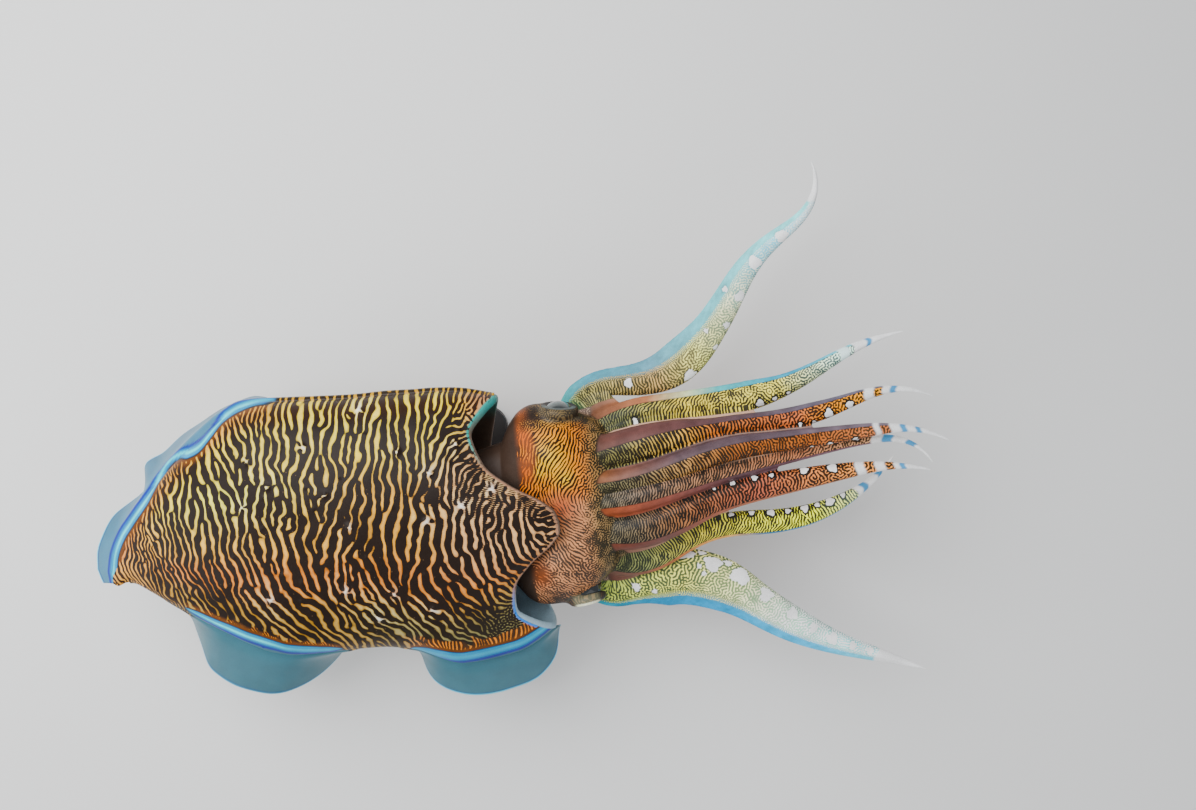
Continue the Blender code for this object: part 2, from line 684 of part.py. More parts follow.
def build_stand(base_material, rod_material):
    top = FLOOR_LEVEL + BASE_THICKNESS
    outlines = [
        rounded_outline(BASE_HALF_LENGTH, BASE_HALF_WIDTH, BASE_CORNER, FLOOR_LEVEL),
        rounded_outline(BASE_HALF_LENGTH, BASE_HALF_WIDTH, BASE_CORNER, top - BASE_BEVEL),
        rounded_outline(BASE_HALF_LENGTH - BASE_BEVEL, BASE_HALF_WIDTH - BASE_BEVEL, BASE_CORNER - BASE_BEVEL, top),
    ]
    solid("stand_base", *loft(outlines), base_material)
    for name, (x, y) in ROD_PLACES.items():
        belly = -float(smooth_through(MANTLE_BOTTOM, x))
        foot = top + GAP
        profile = (
            (foot, ROD_FOOT_RADIUS), (foot + ROD_FOOT_HEIGHT, ROD_FOOT_RADIUS), (foot + ROD_FOOT_HEIGHT, ROD_RADIUS),
            (belly - 8, ROD_RADIUS), (belly - 3, ROD_PAD_RADIUS), (belly + 6, ROD_PAD_RADIUS),
        )
        angle = np.linspace(0, 2 * math.pi, ROUND_SIDES, endpoint=False)
        rings = [
            np.stack([x + np.cos(angle) * radius, y + np.sin(angle) * radius, np.full(ROUND_SIDES, level)], axis=1)
            for level, radius in profile
        ]
        rod = solid(name, *loft(rings), rod_material)
        combine(rod, [mantle_belly(GAP)], "DIFFERENCE")


def centre_on_floor():
    """Move everything so that the middle of its outline stands over the origin, on the floor."""
    things = [thing for thing in bpy.context.scene.objects if thing.type == "MESH"]
    points = np.array([tuple(vertex.co) for thing in things for vertex in thing.data.vertices])
    low = points.min(axis=0)
    high = points.max(axis=0)
    shift = -Vector(((low[0] + high[0]) / 2, (low[1] + high[1]) / 2, low[2]))
    for thing in things:
        for vertex in thing.data.vertices:
            vertex.co += shift


for thing in list(bpy.data.objects):
    bpy.data.objects.remove(thing)

mantle_skin = finish("mantle_skin", (0.30, 0.16, 0.07), 0.45)
fin_skin = finish("fin_skin", (0.33, 0.50, 0.62), 0.35)
head_skin = finish("head_skin", (0.42, 0.24, 0.12), 0.45)
arm_skin = finish("arm_skin", (0.45, 0.27, 0.19), 0.45)
eye_surface = finish("eye_surface", (0.05, 0.06, 0.06), 0.12)
inner_skin = finish("inner_skin", (0.24, 0.25, 0.27), 0.45)
beak_horn = finish("beak_horn", (0.10, 0.07, 0.05), 0.30)
base_finish = finish("stand_plastic", (0.06, 0.06, 0.065), 0.50)
rod_finish = finish("stand_steel", (0.62, 0.63, 0.65), 0.30, 1.0)

build_mantle(mantle_skin)
build_fin("fin_left", 1, FIN_LEFT_SPREAD, fin_skin)
build_fin("fin_right", -1, FIN_RIGHT_SPREAD, fin_skin)
build_neck(inner_skin)
build_head(head_skin)
ball("eye_left", EYE_LEFT, EYE_RADIUS, eye_axis(1), eye_surface)
ball("eye_right", EYE_RIGHT, EYE_RADIUS, eye_axis(-1), eye_surface)
build_arms(arm_skin)
build_funnel(inner_skin)
build_mouth(beak_horn)
build_stand(base_finish, rod_finish)
centre_on_floor()
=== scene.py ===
import math

import bpy
import numpy as np
from mathutils import Matrix, Vector
from mathutils.bvhtree import BVHTree
from mathutils.kdtree import KDTree


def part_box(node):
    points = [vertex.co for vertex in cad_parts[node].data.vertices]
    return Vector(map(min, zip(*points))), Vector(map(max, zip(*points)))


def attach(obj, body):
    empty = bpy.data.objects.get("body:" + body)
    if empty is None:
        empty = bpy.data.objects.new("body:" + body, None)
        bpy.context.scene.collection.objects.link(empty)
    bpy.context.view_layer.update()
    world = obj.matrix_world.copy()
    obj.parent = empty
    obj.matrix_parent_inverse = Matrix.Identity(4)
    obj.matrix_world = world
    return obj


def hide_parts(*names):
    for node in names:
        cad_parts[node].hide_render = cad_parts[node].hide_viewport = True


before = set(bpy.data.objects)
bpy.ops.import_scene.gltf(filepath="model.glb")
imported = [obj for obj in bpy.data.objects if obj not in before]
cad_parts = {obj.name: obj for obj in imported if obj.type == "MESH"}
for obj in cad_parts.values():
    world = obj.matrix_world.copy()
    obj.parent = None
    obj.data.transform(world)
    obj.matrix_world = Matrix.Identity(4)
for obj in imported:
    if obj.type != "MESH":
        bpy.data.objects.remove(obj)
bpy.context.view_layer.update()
print("frame loaded:", len(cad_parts), "nodes")

# Lengths below are millimetres from the tail tip: x forward, y to the animal's left, z up from the fin line.
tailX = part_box("mantle")[0][0] * 1000
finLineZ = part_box("stand_base")[0][2] * 1000 + 100


def curve(knots, at):  # a smooth line through (place, value) knots that never overshoots them
    x, y = np.array(knots, float).T
    step = np.diff(x)
    slope = np.diff(y) / step
    lean = np.zeros(len(x))
    for i in range(1, len(x) - 1):
        if slope[i - 1] * slope[i] > 0:
            a = 2 * step[i] + step[i - 1]
            b = step[i] + 2 * step[i - 1]
            lean[i] = (a + b) / (a / slope[i - 1] + b / slope[i])
    lean[0], lean[-1] = slope[0], slope[-1]
    at = np.clip(np.asarray(at, float), x[0], x[-1])
    i = np.clip(np.searchsorted(x, at, side="right") - 1, 0, len(x) - 2)
    t = (at - x[i]) / step[i]
    keep = 2 * t**3 - 3 * t**2 + 1
    return (keep * y[i] + (1 - keep) * y[i + 1] + (t**3 - 2 * t**2 + t) * step[i] * lean[i]
            + (t**3 - t**2) * step[i] * lean[i + 1])


def spread(values, t):  # the same through values at even places from 0 to 1
    return curve(list(zip(np.linspace(0, 1, len(values)), values)), t)


def ease(t):
    t = np.clip(t, 0, 1)
    return t * t * (3 - 2 * t)


def between(a, b, x):  # 0 at a, 1 at b, eased
    return ease((x - a) / (b - a))


def mixed(a, b, weight):
    return a * (1 - weight) + b * weight


def hill(x, y, wide, deep=None):  # 1 in the middle, fading over the given sizes
    return np.exp(-(x / wide) ** 2 - (y / (deep or wide)) ** 2)


def rounded(value, power):
    return np.sign(value) * np.abs(value) ** power


def fullTurn(count):
    return np.linspace(0, 2 * math.pi, count, endpoint=False)


# Light off the surface as the picture shows it: channels mix, each follows the curve, and the results
# spread again.
picture = {
    "light": (0.0008, 0.0026, 0.0061, 0.0141, 0.0245, 0.0428, 0.0747, 0.1305, 0.2277, 0.3975, 0.6938, 1.211,
              1.6, 3.2),
    "shade": (0, 2.5, 10, 22, 33.5, 48, 70, 98, 130, 158, 183, 204, 211, 226),
    "mix": np.array([(0.748, 0.200, 0.052), (0.080, 0.811, 0.109), (0.051, 0.120, 0.829)]),
    "spread": np.array([(1.287, -0.213, -0.074), (-0.100, 1.114, -0.014), (-0.066, -0.132, 1.198)]),
    "lit": 1.8,
}


def colour(r, g, b):  # a colour as seen, 0 to 255, to the base colour that shows it under the studio light
    seen = np.clip(np.array([r, g, b], float), 2, 255)
    light = (seen / 255) ** 2.2
    for _ in range(30):
        inner = np.log(picture["mix"] @ light)
        shown = picture["spread"] @ np.interp(inner, np.log(picture["light"]), picture["shade"])
        light = np.clip(light * (seen / np.clip(shown, 2, 255)) ** 1.4, 0.0005, 1.65)
    return light / picture["lit"]


def coats(base, *layers):  # colours laid over each other, each with how far it covers
    base = colour(*base) if isinstance(base, tuple) else base
    for tone, cover in layers:
        tone = colour(*tone) if isinstance(tone, tuple) else tone
        base = mixed(base, tone, np.clip(cover, 0, 1)[..., None])
    return base


def softNoise(points, size, seed, waves=20):  # smooth random field, about -1 to 1, lumps of the given size
    random = np.random.default_rng(seed)
    way = random.standard_normal((waves, points.shape[1]))
    way /= np.linalg.norm(way, axis=1)[:, None]
    way *= 2 * math.pi / size * random.uniform(0.6, 1.3, (waves, 1)) / 2
    phase = random.uniform(0, 2 * math.pi, waves)
    return sum(np.cos(points @ way[i] + phase[i]) for i in range(waves)) / math.sqrt(waves)


# The animal's line markings grow from noise by repeated filtering, as they do in the skin.
growth = {"straightness": 0.52, "scales": 5, "turns": 8, "warp": (0.9, 9, 0.45, 3.2), "tile": 384,
          "tileSpacing": 10.0}


def growLines(spacing, heading, cell, seed, rounds=7, band=0.33, maze=0, forced=None):
    turns = growth["turns"]
    field = np.random.default_rng(seed).standard_normal(spacing.shape)
    rows, columns = field.shape
    kx, ky = np.meshgrid(np.fft.fftfreq(rows, cell), np.fft.rfftfreq(columns, cell), indexing="ij")
    k = np.hypot(kx, ky) + 1e-9
    way = np.arctan2(ky, kx)
    low, high = spacing.min(), spacing.max()
    sizes = np.geomspace(low, high, growth["scales"]) if high / low > 1.02 else np.array([low])
    place = np.log(spacing / low) / max(math.log(high / low), 1e-6) * (len(sizes) - 1)
    halfTurn = lambda angle: (angle + math.pi / 2) % math.pi - math.pi / 2
    filters = []
    for i, size in enumerate(sizes):
        ring = np.exp(-np.log(k * size) ** 2 / (2 * band**2))
        sizeWeight = np.clip(1 - np.abs(place - i), 0, 1)
        filters.append((ring, sizeWeight * maze))
        for angle in np.arange(turns) * math.pi / turns:
            arc = np.exp(-halfTurn(way - angle) ** 2 / (2 * growth["straightness"] ** 2))
            gap = np.abs(halfTurn(heading - angle)) / (math.pi / turns)
            filters.append((ring * arc, sizeWeight * (1 - maze) * np.clip(1 - gap, 0, 1)))
    filters = [f for f in filters if f[1].max() > 0.01]
    blur = np.exp(-(k * high * 1.2) ** 2)
    for _ in range(rounds):
        spectrum = np.fft.rfft2(field)
        total = sum(weight * np.fft.irfft2(spectrum * mask, field.shape) for mask, weight in filters)
        power = np.fft.irfft2(np.fft.rfft2(total**2) * blur, field.shape)
        total /= np.sqrt(np.maximum(power, power.mean() * 0.02))
        if forced is not None:
            total = mixed(total, forced[1], forced[0])
        field = np.tanh(total * 1.6)
    return total


def readGrid(field, u, v, fold=np.clip):
    i, j = np.floor(u).astype(int), np.floor(v).astype(int)
    a, b = u - i, v - j
    pick = lambda p, q: field[fold(p, 0, field.shape[0] - 1), fold(q, 0, field.shape[1] - 1)]
    return mixed(mixed(pick(i, j), pick(i + 1, j), a), mixed(pick(i, j + 1), pick(i + 1, j + 1), a), b)


def grownMap(low, high, cell, recipe, seed, wobble=1.0):
    # recipe gives spacing, heading, maze and forced values on a grid; the result is read at any point, a
    # little warped
    grid = np.meshgrid(np.arange(low[0], high[0], cell), np.arange(low[1], high[1], cell), indexing="ij")
    spacing, heading, maze, forced = recipe(*grid)
    grown = growLines(spacing, heading, cell, seed, maze=maze, forced=forced)
    broad, broadSize, fine, fineSize = growth["warp"]

    def read(x, y):
        plane = np.stack([x, y], axis=1)
        shift = [wobble * (broad * softNoise(plane, broadSize, seed + i)
                           + fine * softNoise(plane, fineSize, seed + i + 5)) for i in (1, 2)]
        return readGrid(grown, (x + shift[0] - low[0]) / cell, (y + shift[1] - low[1]) / cell)

    return read


flat = np.full((growth["tile"], growth["tile"]), growth["tileSpacing"])
netTile = growLines(flat, 0 * flat, 1.0, 11, rounds=14, band=0.16, maze=1.0)  # a maze of short lines
barTile = growLines(flat, 0 * flat, 1.0, 12, rounds=12)  # lines across, with forks


def tileLines(tile, along, across, spacing):
    scale = growth["tileSpacing"] / spacing
    return readGrid(tile, along * scale, across * scale, fold=lambda p, _, last: p % (last + 1))


print("line markings grown")


# Mesh helpers: points come in millimetres of the animal and leave in metres of the frame.
def toFrame(points):
    return (np.array(points, float) + (tailX, sideShift, finLineZ)) * 0.001


def ringAt(x, y, z):  # points from their parts, where one number stands for all
    return np.stack(np.broadcast_arrays(x, y, z), axis=-1)


def ringFaces(rows, columns):
    i, j = np.meshgrid(np.arange(rows - 1), np.arange(columns), indexing="ij")
    a, b = i * columns + j, i * columns + (j + 1) % columns
    return np.stack([a, b, b + columns, a + columns], axis=-1).reshape(-1, 4)


def tubeFaces(rows, columns):  # with a fan at each end, to two points that follow the rings
    faces = ringFaces(rows, columns).tolist()
    first, last = rows * columns, (rows - 1) * columns
    for j in range(columns):
        after = (j + 1) % columns
        faces += [(after, j, first), (last + j, last + after, first + 1)]
    return faces


def closedTube(rings, ends=None):
    ends = (rings[0].mean(axis=0), rings[-1].mean(axis=0)) if ends is None else ends
    return np.vstack([*rings, *ends]), tubeFaces(len(rings), len(rings[0]))


def linked(name, data):
    thing = bpy.data.objects.new(name, data)
    bpy.context.scene.collection.objects.link(thing)
    return thing


def meshFrom(name, points, faces):
    mesh = bpy.data.meshes.new(name)
    mesh.from_pydata(toFrame(points).tolist(), [], faces)
    mesh.shade_smooth()
    return linked(name, mesh)


def readBack(items, label, width, kind=np.float32):
    values = np.empty(len(items) * width, kind)
    items.foreach_get(label, values)
    return values.reshape(-1, width)


def pointsOf(mesh):
    return readBack(mesh.vertices, "co", 3).astype(float)


def movePoints(mesh, points):
    mesh.vertices.foreach_set("co", points.astype(np.float32).ravel())
    mesh.update()


def facesOutward(thing):
    thing.data.calc_loop_triangles()
    corners = readBack(thing.data.loop_triangles, "vertices", 3, np.int32)
    a, b, c = pointsOf(thing.data)[corners].transpose(1, 0, 2)
    if (np.cross(a, b) * c).sum() < 0:
        thing.data.flip_normals()
    return thing


def setValues(thing, name, values):
    layer = thing.data.attributes.new(name, "FLOAT" if values.ndim == 1 else "FLOAT_COLOR", "POINT")
    if values.ndim == 1:
        layer.data.foreach_set("value", values.astype(np.float32))
    else:
        rgba = np.hstack([values, np.ones((len(values), 1))])
        layer.data.foreach_set("color", rgba.astype(np.float32).ravel())


def paint(thing, ground, line=None, tint=None):  # without lines, the whole piece has its ground colour
    setValues(thing, "line", np.full(len(ground), -1.0) if line is None else line)
    setValues(thing, "ground", ground)
    setValues(thing, "lineTint", ground if tint is None else tint)


def dress(thing, material):
    thing.data.materials.clear()
    thing.data.materials.append(material)
    return thing


def addPiece(thing, slotName, *replaced):
    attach(thing, "root")
    if replaced:
        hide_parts(*replaced)


# Shader helpers: an input is a value or the socket that feeds it.
def fill(tree, node, inputs):
    for label, value in inputs.items():
        if isinstance(value, bpy.types.NodeSocket):
            tree.links.new(value, node.inputs[label])
        else:
            node.inputs[label].default_value = value


def addNode(tree, kind, inputs, **settings):
    node = tree.nodes.new("ShaderNode" + kind)
    for name, value in settings.items():
        setattr(node, name, value)
    fill(tree, node, inputs)
    return node.outputs


def mathNode(tree, operation, first, second):
    return addNode(tree, "Math", {0: first, 1: second}, operation=operation)[0]


def mixNode(tree, factor, a, b):
    return addNode(tree, "Mix", {0: factor, 6: a, 7: b}, data_type="RGBA")[2]


def noiseNode(tree, scale, detail=2.0, rough=0.5, vector=None):
    if vector is None:
        vector = addNode(tree, "TexCoord", {})["Object"]
    return addNode(tree, "TexNoise", {"Scale": scale, "Detail": detail, "Roughness": rough,
                                      "Vector": vector})["Fac"]


def rangeNode(tree, value, low, high, toLow=0.0, toHigh=1.0):
    limits = {"Value": value, "From Min": low, "From Max": high, "To Min": toLow, "To Max": toHigh}
    return addNode(tree, "MapRange", limits, interpolation_type="SMOOTHSTEP")["Result"]


def bumpNode(tree, height, strength, distance):
    return addNode(tree, "Bump", {"Strength": strength, "Distance": distance, "Height": height})["Normal"]


def readValues(tree, name, output):
    return addNode(tree, "Attribute", {}, attribute_name=name)[output]


# Shader groups that several materials share. build gets the group and its inputs, and gives its outputs.
def makeGroup(name, inputs, outputs, build):
    group = bpy.data.node_groups.new(name, "ShaderNodeTree")
    for way, labels in (("INPUT", inputs), ("OUTPUT", outputs)):
        for label in labels:
            kind = "NodeSocketColor" if label == "Color" else "NodeSocketFloat"
            socket = group.interface.new_socket(label, in_out=way, socket_type=kind)
            if way == "INPUT" and label != "Color":
                socket.default_value = inputs[label]
    entry, leave = group.nodes.new("NodeGroupInput"), group.nodes.new("NodeGroupOutput")
    fill(group, leave, dict(zip(outputs, build(group, entry.outputs))))
    return group


def mottle(group, entry):  # small pigment cells and soft patches that break up a colour
    patch = rangeNode(group, noiseNode(group, 70, 3.0), 0.3, 0.7, -1, 1)
    grain = rangeNode(group, noiseNode(group, 1500, 2.0, 0.6), 0.3, 0.7, -1, 1)
    gain = mathNode(group, "ADD", mathNode(group, "MULTIPLY", patch, entry["Patch"]),
                    mathNode(group, "MULTIPLY", grain, entry["Grain"]))
    gain = mathNode(group, "ADD", gain, 1.0)
    return addNode(group, "VectorMath", {0: entry["Color"], "Scale": gain}, operation="SCALE")[0], grain


def relief(group, entry):  # fine wrinkles and pores for a damp, soft skin
    wrinkle = mathNode(group, "MULTIPLY", noiseNode(group, 420, 4.0, 0.6), entry["Wrinkles"])
    pores = mathNode(group, "MULTIPLY", noiseNode(group, 2200, 1.0), entry["Pores"])
    lines = mathNode(group, "MULTIPLY", entry["Lines"], entry["Lines Height"])
    return (mathNode(group, "ADD", mathNode(group, "ADD", wrinkle, pores), lines),)


def specks(group, entry):  # tiny scattered pale dots
    place = addNode(group, "TexCoord", {})["Object"]
    cells = addNode(group, "TexVoronoi", {"Vector": place, "Scale": entry["Scale"]})
    chance = addNode(group, "SeparateColor", {0: cells["Color"]})[0]
    radius = mathNode(group, "MULTIPLY", mathNode(group, "SUBTRACT", chance, 0.45), entry["Size"])
    near = mathNode(group, "SUBTRACT", mathNode(group, "MULTIPLY", radius, 2.2), cells["Distance"])
    return (rangeNode(group, near, -0.02, 0.02),)


mottleInputs = {"Color": None, "Patch": 0.15, "Grain": 0.12}
skinMottle = makeGroup("skinMottle", mottleInputs, ("Color", "Grain"), mottle)
reliefInputs = {"Lines": 0.0, "Lines Height": 0.3, "Wrinkles": 0.5, "Pores": 0.3}
skinRelief = makeGroup("skinRelief", reliefInputs, ("Height",), relief)
paleSpecks = makeGroup("paleSpecks", {"Scale": 330.0, "Size": 0.10}, ("Mask",), specks)


def setSurface(material, inputs):
    fill(material.node_tree, material.node_tree.nodes["Principled BSDF"], inputs)


def makeMaterial(name, build):  # build gives the inputs of the surface
    material = bpy.data.materials.new(name)
    material.use_nodes = True
    setSurface(material, build(material.node_tree))
    return material


def paintedSkin(name, roughness, coat, bump, patch=0.10, grain=0.10, dots=0.0):
    def build(tree):
        line = rangeNode(tree, readValues(tree, "line", "Fac"), -0.17, 0.17)
        ground = readValues(tree, "ground", "Color")
        if dots:
            mask = addNode(tree, "Group", {}, node_tree=paleSpecks)["Mask"]
            ground = mixNode(tree, mathNode(tree, "MULTIPLY", mask, dots), ground, (0.30, 0.17, 0.07, 1))
        tone = mixNode(tree, line, ground, readValues(tree, "lineTint", "Color"))
        broken = addNode(tree, "Group", {"Color": tone, "Patch": patch, "Grain": grain}, node_tree=skinMottle)
        fine = {"Lines": line, "Lines Height": 0.12, "Wrinkles": 0.5, "Pores": 0.25}
        height = addNode(tree, "Group", fine, node_tree=skinRelief)["Height"]
        rough = mathNode(tree, "ADD", mathNode(tree, "MULTIPLY", broken["Grain"], 0.05), roughness)
        return {"Base Color": broken["Color"], "Normal": bumpNode(tree, height, bump, 0.0006),
                "Roughness": rough, "Coat Weight": coat, "Coat Roughness": 0.2, "Specular IOR Level": 0.16}

    return makeMaterial(name, build)


# The mantle: an oval body with a sharp fin line at each side and an open front rim.
mantle = {
    "front": 284.0,
    "halfWidth": ((0, 4), (3.5, 11), (10, 16), (15, 19.5), (27, 30), (49, 48.5), (73, 66.5), (92, 79),
                  (105, 85), (120, 87.7), (178, 86.2), (200, 88), (231, 94.5), (259, 91.5), (284, 82)),
    "middle": ((0, -13), (3.5, -8), (10, -1), (15, 2), (34, 5.5), (49, 7.5), (92, 9), (136, 8), (178, 6.8),
               (200, 5), (231, -2.5), (259, -1.3), (284, 3)),
    "top": ((0, 3), (15, 10), (33, 18), (58, 27), (90, 35), (136, 41.5), (200, 44), (250, 42), (284, 36)),
    "bottom": ((0, 3), (15, 8), (33, 15), (58, 25), (90, 35), (136, 44), (200, 48), (259, 47), (284, 45)),
    "rimTop": ((0, 309), (0.08, 308), (0.18, 301), (0.33, 284), (0.52, 270), (0.75, 266), (0.94, 279),
               (1, 286)),
    "rimBottom": ((0, 262), (0.4, 266), (0.8, 278), (1, 286)),
    "rimTurn": 0.14, "rimStart": 190.0, "wall": 4.5, "wallEnd": 246.0, "pocket": 236.0, "edge": 2.0,
    "rows": 440, "rowPower": 1.06, "upperSteps": 300, "lowerSteps": 84, "papillae": 1.3, "smallPapillae": 90,
    "roundAcross": 0.94, "roundUp": 0.9,
    # raised white star marks, x and y, and the ring mark
    "stars": ((151, 69), (212, 60), (163, 38), (231, 45), (176, 16), (108, 34), (249, 60), (270, 30),
              (199, -33), (168, -27), (116, -30), (223, -45), (186, -50), (188, 87), (126, 46), (113, 62),
              (226, 14), (250, 22)),
    "ring": (231, 30),
}

# The neon stripe along each side: its middle and half breadth in mm inside the fin line, and how white its
# core is. The white core is partly the stripe's own pale colour and partly a painted highlight.
stripe = {
    1: {"centre": ((0, 1.5), (20, 1.8), (36, 1.5), (46, -1.5), (54, -3.5), (62, -1.5), (70, 2.5), (79, 4.5),
                   (88, 2.5), (96, -0.5), (110, -1.2), (130, -1.0)),
        "half": ((0, 3), (30, 3), (45, 2.6), (60, 2.2), (80, 2.8), (100, 2.6), (115, 1.6), (126, 1.0),
                 (131, 0)),
        "core": ((0, 0.7), (30, 0.9), (60, 0.8), (80, 1), (110, 0.9), (130, 0.2))},
    -1: {"centre": ((45, 6), (60, 7.5), (75, 9), (90, 11), (105, 12.5), (118, 10.5), (130, 8), (145, 6),
                    (158, 5), (198, 2), (205, 3), (214, 5.5), (226, 8.5), (240, 10), (260, 9.5), (280, 8),
                    (290, 7)),
         "half": ((50, 0), (62, 2.4), (75, 3.4), (105, 4), (125, 4), (145, 3), (157, 0), (196, 0), (204, 3),
                  (214, 4.4), (240, 4.4), (290, 3)),
         "core": ((60, 0.5), (80, 1), (105, 0.9), (125, 0.3), (200, 0.15), (290, 0.3))},
}
finTint = {1: colour(106, 158, 176), -1: colour(90, 144, 156)}


def rimShift(station, across, y, rim):  # how far the open front reaches past the plain oval
    reach = curve(mantle[rim], np.abs(across)) - mantle["rimTurn"] * (y - 4)
    return (reach - mantle["front"]) * between(mantle["rimStart"], mantle["front"], station)


def mantlePoints(station, angle, upper, inset=0.0):
    height = curve(mantle["top" if upper else "bottom"], station)
    across = rounded(np.cos(angle), mantle["roundAcross"])
    y = curve(mantle["middle"], station) + across * (curve(mantle["halfWidth"], station) - inset)
    flatPart = np.minimum(mantle["edge"], 0.8 * height)
    z = flatPart + rounded(np.sin(angle), mantle["roundUp"]) * (height - inset - flatPart)
    x = station + rimShift(station, across, y, "rimTop" if upper else "rimBottom")
    return ringAt(x, y, z if upper else -z)


def stationsFor(count, power):  # closer together at the tail
    return mantle["front"] * np.linspace(0, 1, count) ** power


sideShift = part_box("mantle")[0][1] * 1000 - min(
    mantlePoints(s, np.array([math.pi]), True)[0, 1] for s in stationsFor(37, 1.3))


def mantleRing(station, inset=0.0, forward=0.0):
    upperHalf = mantlePoints(station, np.linspace(0, math.pi, mantle["upperSteps"]), True, inset)
    lowerHalf = mantlePoints(station, np.linspace(math.pi, 0, mantle["lowerSteps"]), False, inset)
    return np.vstack([upperHalf, lowerHalf]) + (forward, 0, 0)


def insideEdge(x, y):  # how far a point lies inside the fin line, seen from above
    stations = stationsFor(900, 1.3)
    edge = np.vstack([mantlePoints(stations, np.full(900, a), True) for a in (0.0, math.pi)])
    tree = KDTree(len(edge))
    for i, p in enumerate(edge.tolist()):
        tree.insert((p[0], p[1], 0), i)
    tree.balance()
    return np.array([tree.find((a, b, 0))[2] for a, b in zip(x.tolist(), y.tolist())])


def paintStripe(side, x, inside, ground):
    # the neon stripe, its white core partly a painted highlight, the blue beyond it and the rusty skin
    # within;
    # also how much of the lines stays
    half = curve(stripe[side]["half"], x)
    q = (inside - curve(stripe[side]["centre"], x)) / np.maximum(half, 0.3)
    on = between(0.2, 1.2, half)
    gap = (q - 1) * half
    glow = on * between(1.1, 0.85, np.abs(q))
    core = curve(stripe[side]["core"], x) * between(0.46, 0.1, np.abs(q))
    ground = coats(
        ground,
        (finTint[side], on * between(-0.7, -1.2, q)),
        ((14, 50, 190), 0.9 * on * between(-0.7, -1.0, q) * between(-1.75, -1.3, q)),
        ((150, 74, 20), 0.8 * on * between(-0.2, 0.5, gap) * between(5.0, 1.6, gap)),
        ((10, 26, 34), 0.85 * on * between(-0.6, -0.1, gap) * between(0.9, 0.4, gap)),
        ((6, 142, 190), glow),
        ((20, 176, 200), glow * between(0.95, 0.6, np.abs(q - 0.1))),
        # the white core: partly the stripe's own pale colour, partly a painted highlight
        ((150, 226, 234), 0.85 * glow * core))
    return ground, 1 - on * between(1.7, 1.05, q)


def zebraRecipe(x, y):
    half = curve(mantle["halfWidth"], x)
    off = y - curve(mantle["middle"], x)
    side = off / half
    rel = np.abs(side)
    plane = np.stack([x.ravel(), y.ravel()], axis=1)
    wander = lambda size, seed: softNoise(plane, size, seed).reshape(x.shape)
    rimGap = curve(mantle["rimTop"], rel) - mantle["rimTurn"] * (y - 4) - x
    spacing = 3.7 + 3.0 * between(8, 110, x) - 2.0 * between(225, 285, x)
    for less in (0.36 * between(0.62, 0.97, rel) * between(150, 110, x) + 0.22 * between(0.75, 1, rel),
                 0.36 * between(222, 262, x) * between(0.30, 0.72, -side),
                 0.26 * between(212, 245, x) * between(0.42, 0.8, side), 0.25 * between(14, 3, rimGap)):
        spacing = spacing * (1 - less)
    spacing = np.clip(spacing * (1 + 0.16 * wander(45, 101)), 2.1, 8.4)
    lean = np.where(off < 0, 62 * off / 75**2, (-8 + 52 * between(110, 225, x)) * off / 80**2)
    heading = np.arctan2(-lean, 1.0) + 0.18 * wander(55, 102) + 0.22 * wander(17, 103)
    heading = heading - 0.22 * hill(x - 140, off - 10, 60, 25)
    edgeTurn = np.gradient(half, x[1, 0] - x[0, 0], axis=0) * np.sign(off)
    strip = between(0.80, 0.93, rel) * between(240, 200, x) + between(0.88, 0.95, rel) * between(200, 240, x)
    heading = mixed(heading, np.arctan2(edgeTurn, 1.0), strip)
    rimSlope = np.gradient(rimGap + x, y[0, 1] - y[0, 0], axis=1)
    alongRim = np.arctan2(1.0, rimSlope) - math.pi * (off > 4)
    heading = mixed(heading, alongRim, between(20, 6, rimGap) * between(0.9, 0.75, rel))
    maze = 0.75 * between(240, 262, x) * between(0.35, 0.6, side)
    maze = maze + 0.9 * between(248, 266, x) * between(0.55, 0.72, -side)
    maze = np.clip(maze + 0.35 * hill(x - 172, y - 52, 22, 16), 0, 1)
    weight, value = np.zeros(x.shape), np.zeros(x.shape)
    random = np.random.default_rng(7)
    for starX, starY in mantle["stars"]:
        far, angle = np.hypot(x - starX, y - starY), np.arctan2(y - starY, x - starX)
        rays, turn, reach = random.integers(3, 5), random.uniform(0, 6.28), random.uniform(4.5, 7.5)
        bend = 1.1 * np.sin(angle + 3 * turn) + 0.5 * np.sin(3 * angle)
        shape = (0.3 + 1.1 * np.cos(rays * angle + turn + bend)) * between(0.4, 2.5, far)
        shape = shape + 2.2 * hill(far, 0, random.uniform(1.2, 2.1))
        near = 0.72 * between(reach, reach * 0.25, far)
        value = np.where(near > weight, shape, value)
        weight = np.maximum(weight, near)
    far = np.hypot((x - mantle["ring"][0]) / 1.5, y - mantle["ring"][1])
    near = 0.6 * between(6.4, 5.4, far)
    shape = 2.0 * hill(far - 4.1 + wander(7, 104), 0, 0.8) + 2.4 * hill(far, 0, 1.0) - 0.9
    return spacing, heading, maze, (np.maximum(weight, near), mixed(value, shape, near))


zebraLines = grownMap((-8, -112), (322, 112), 0.6, zebraRecipe, 5)


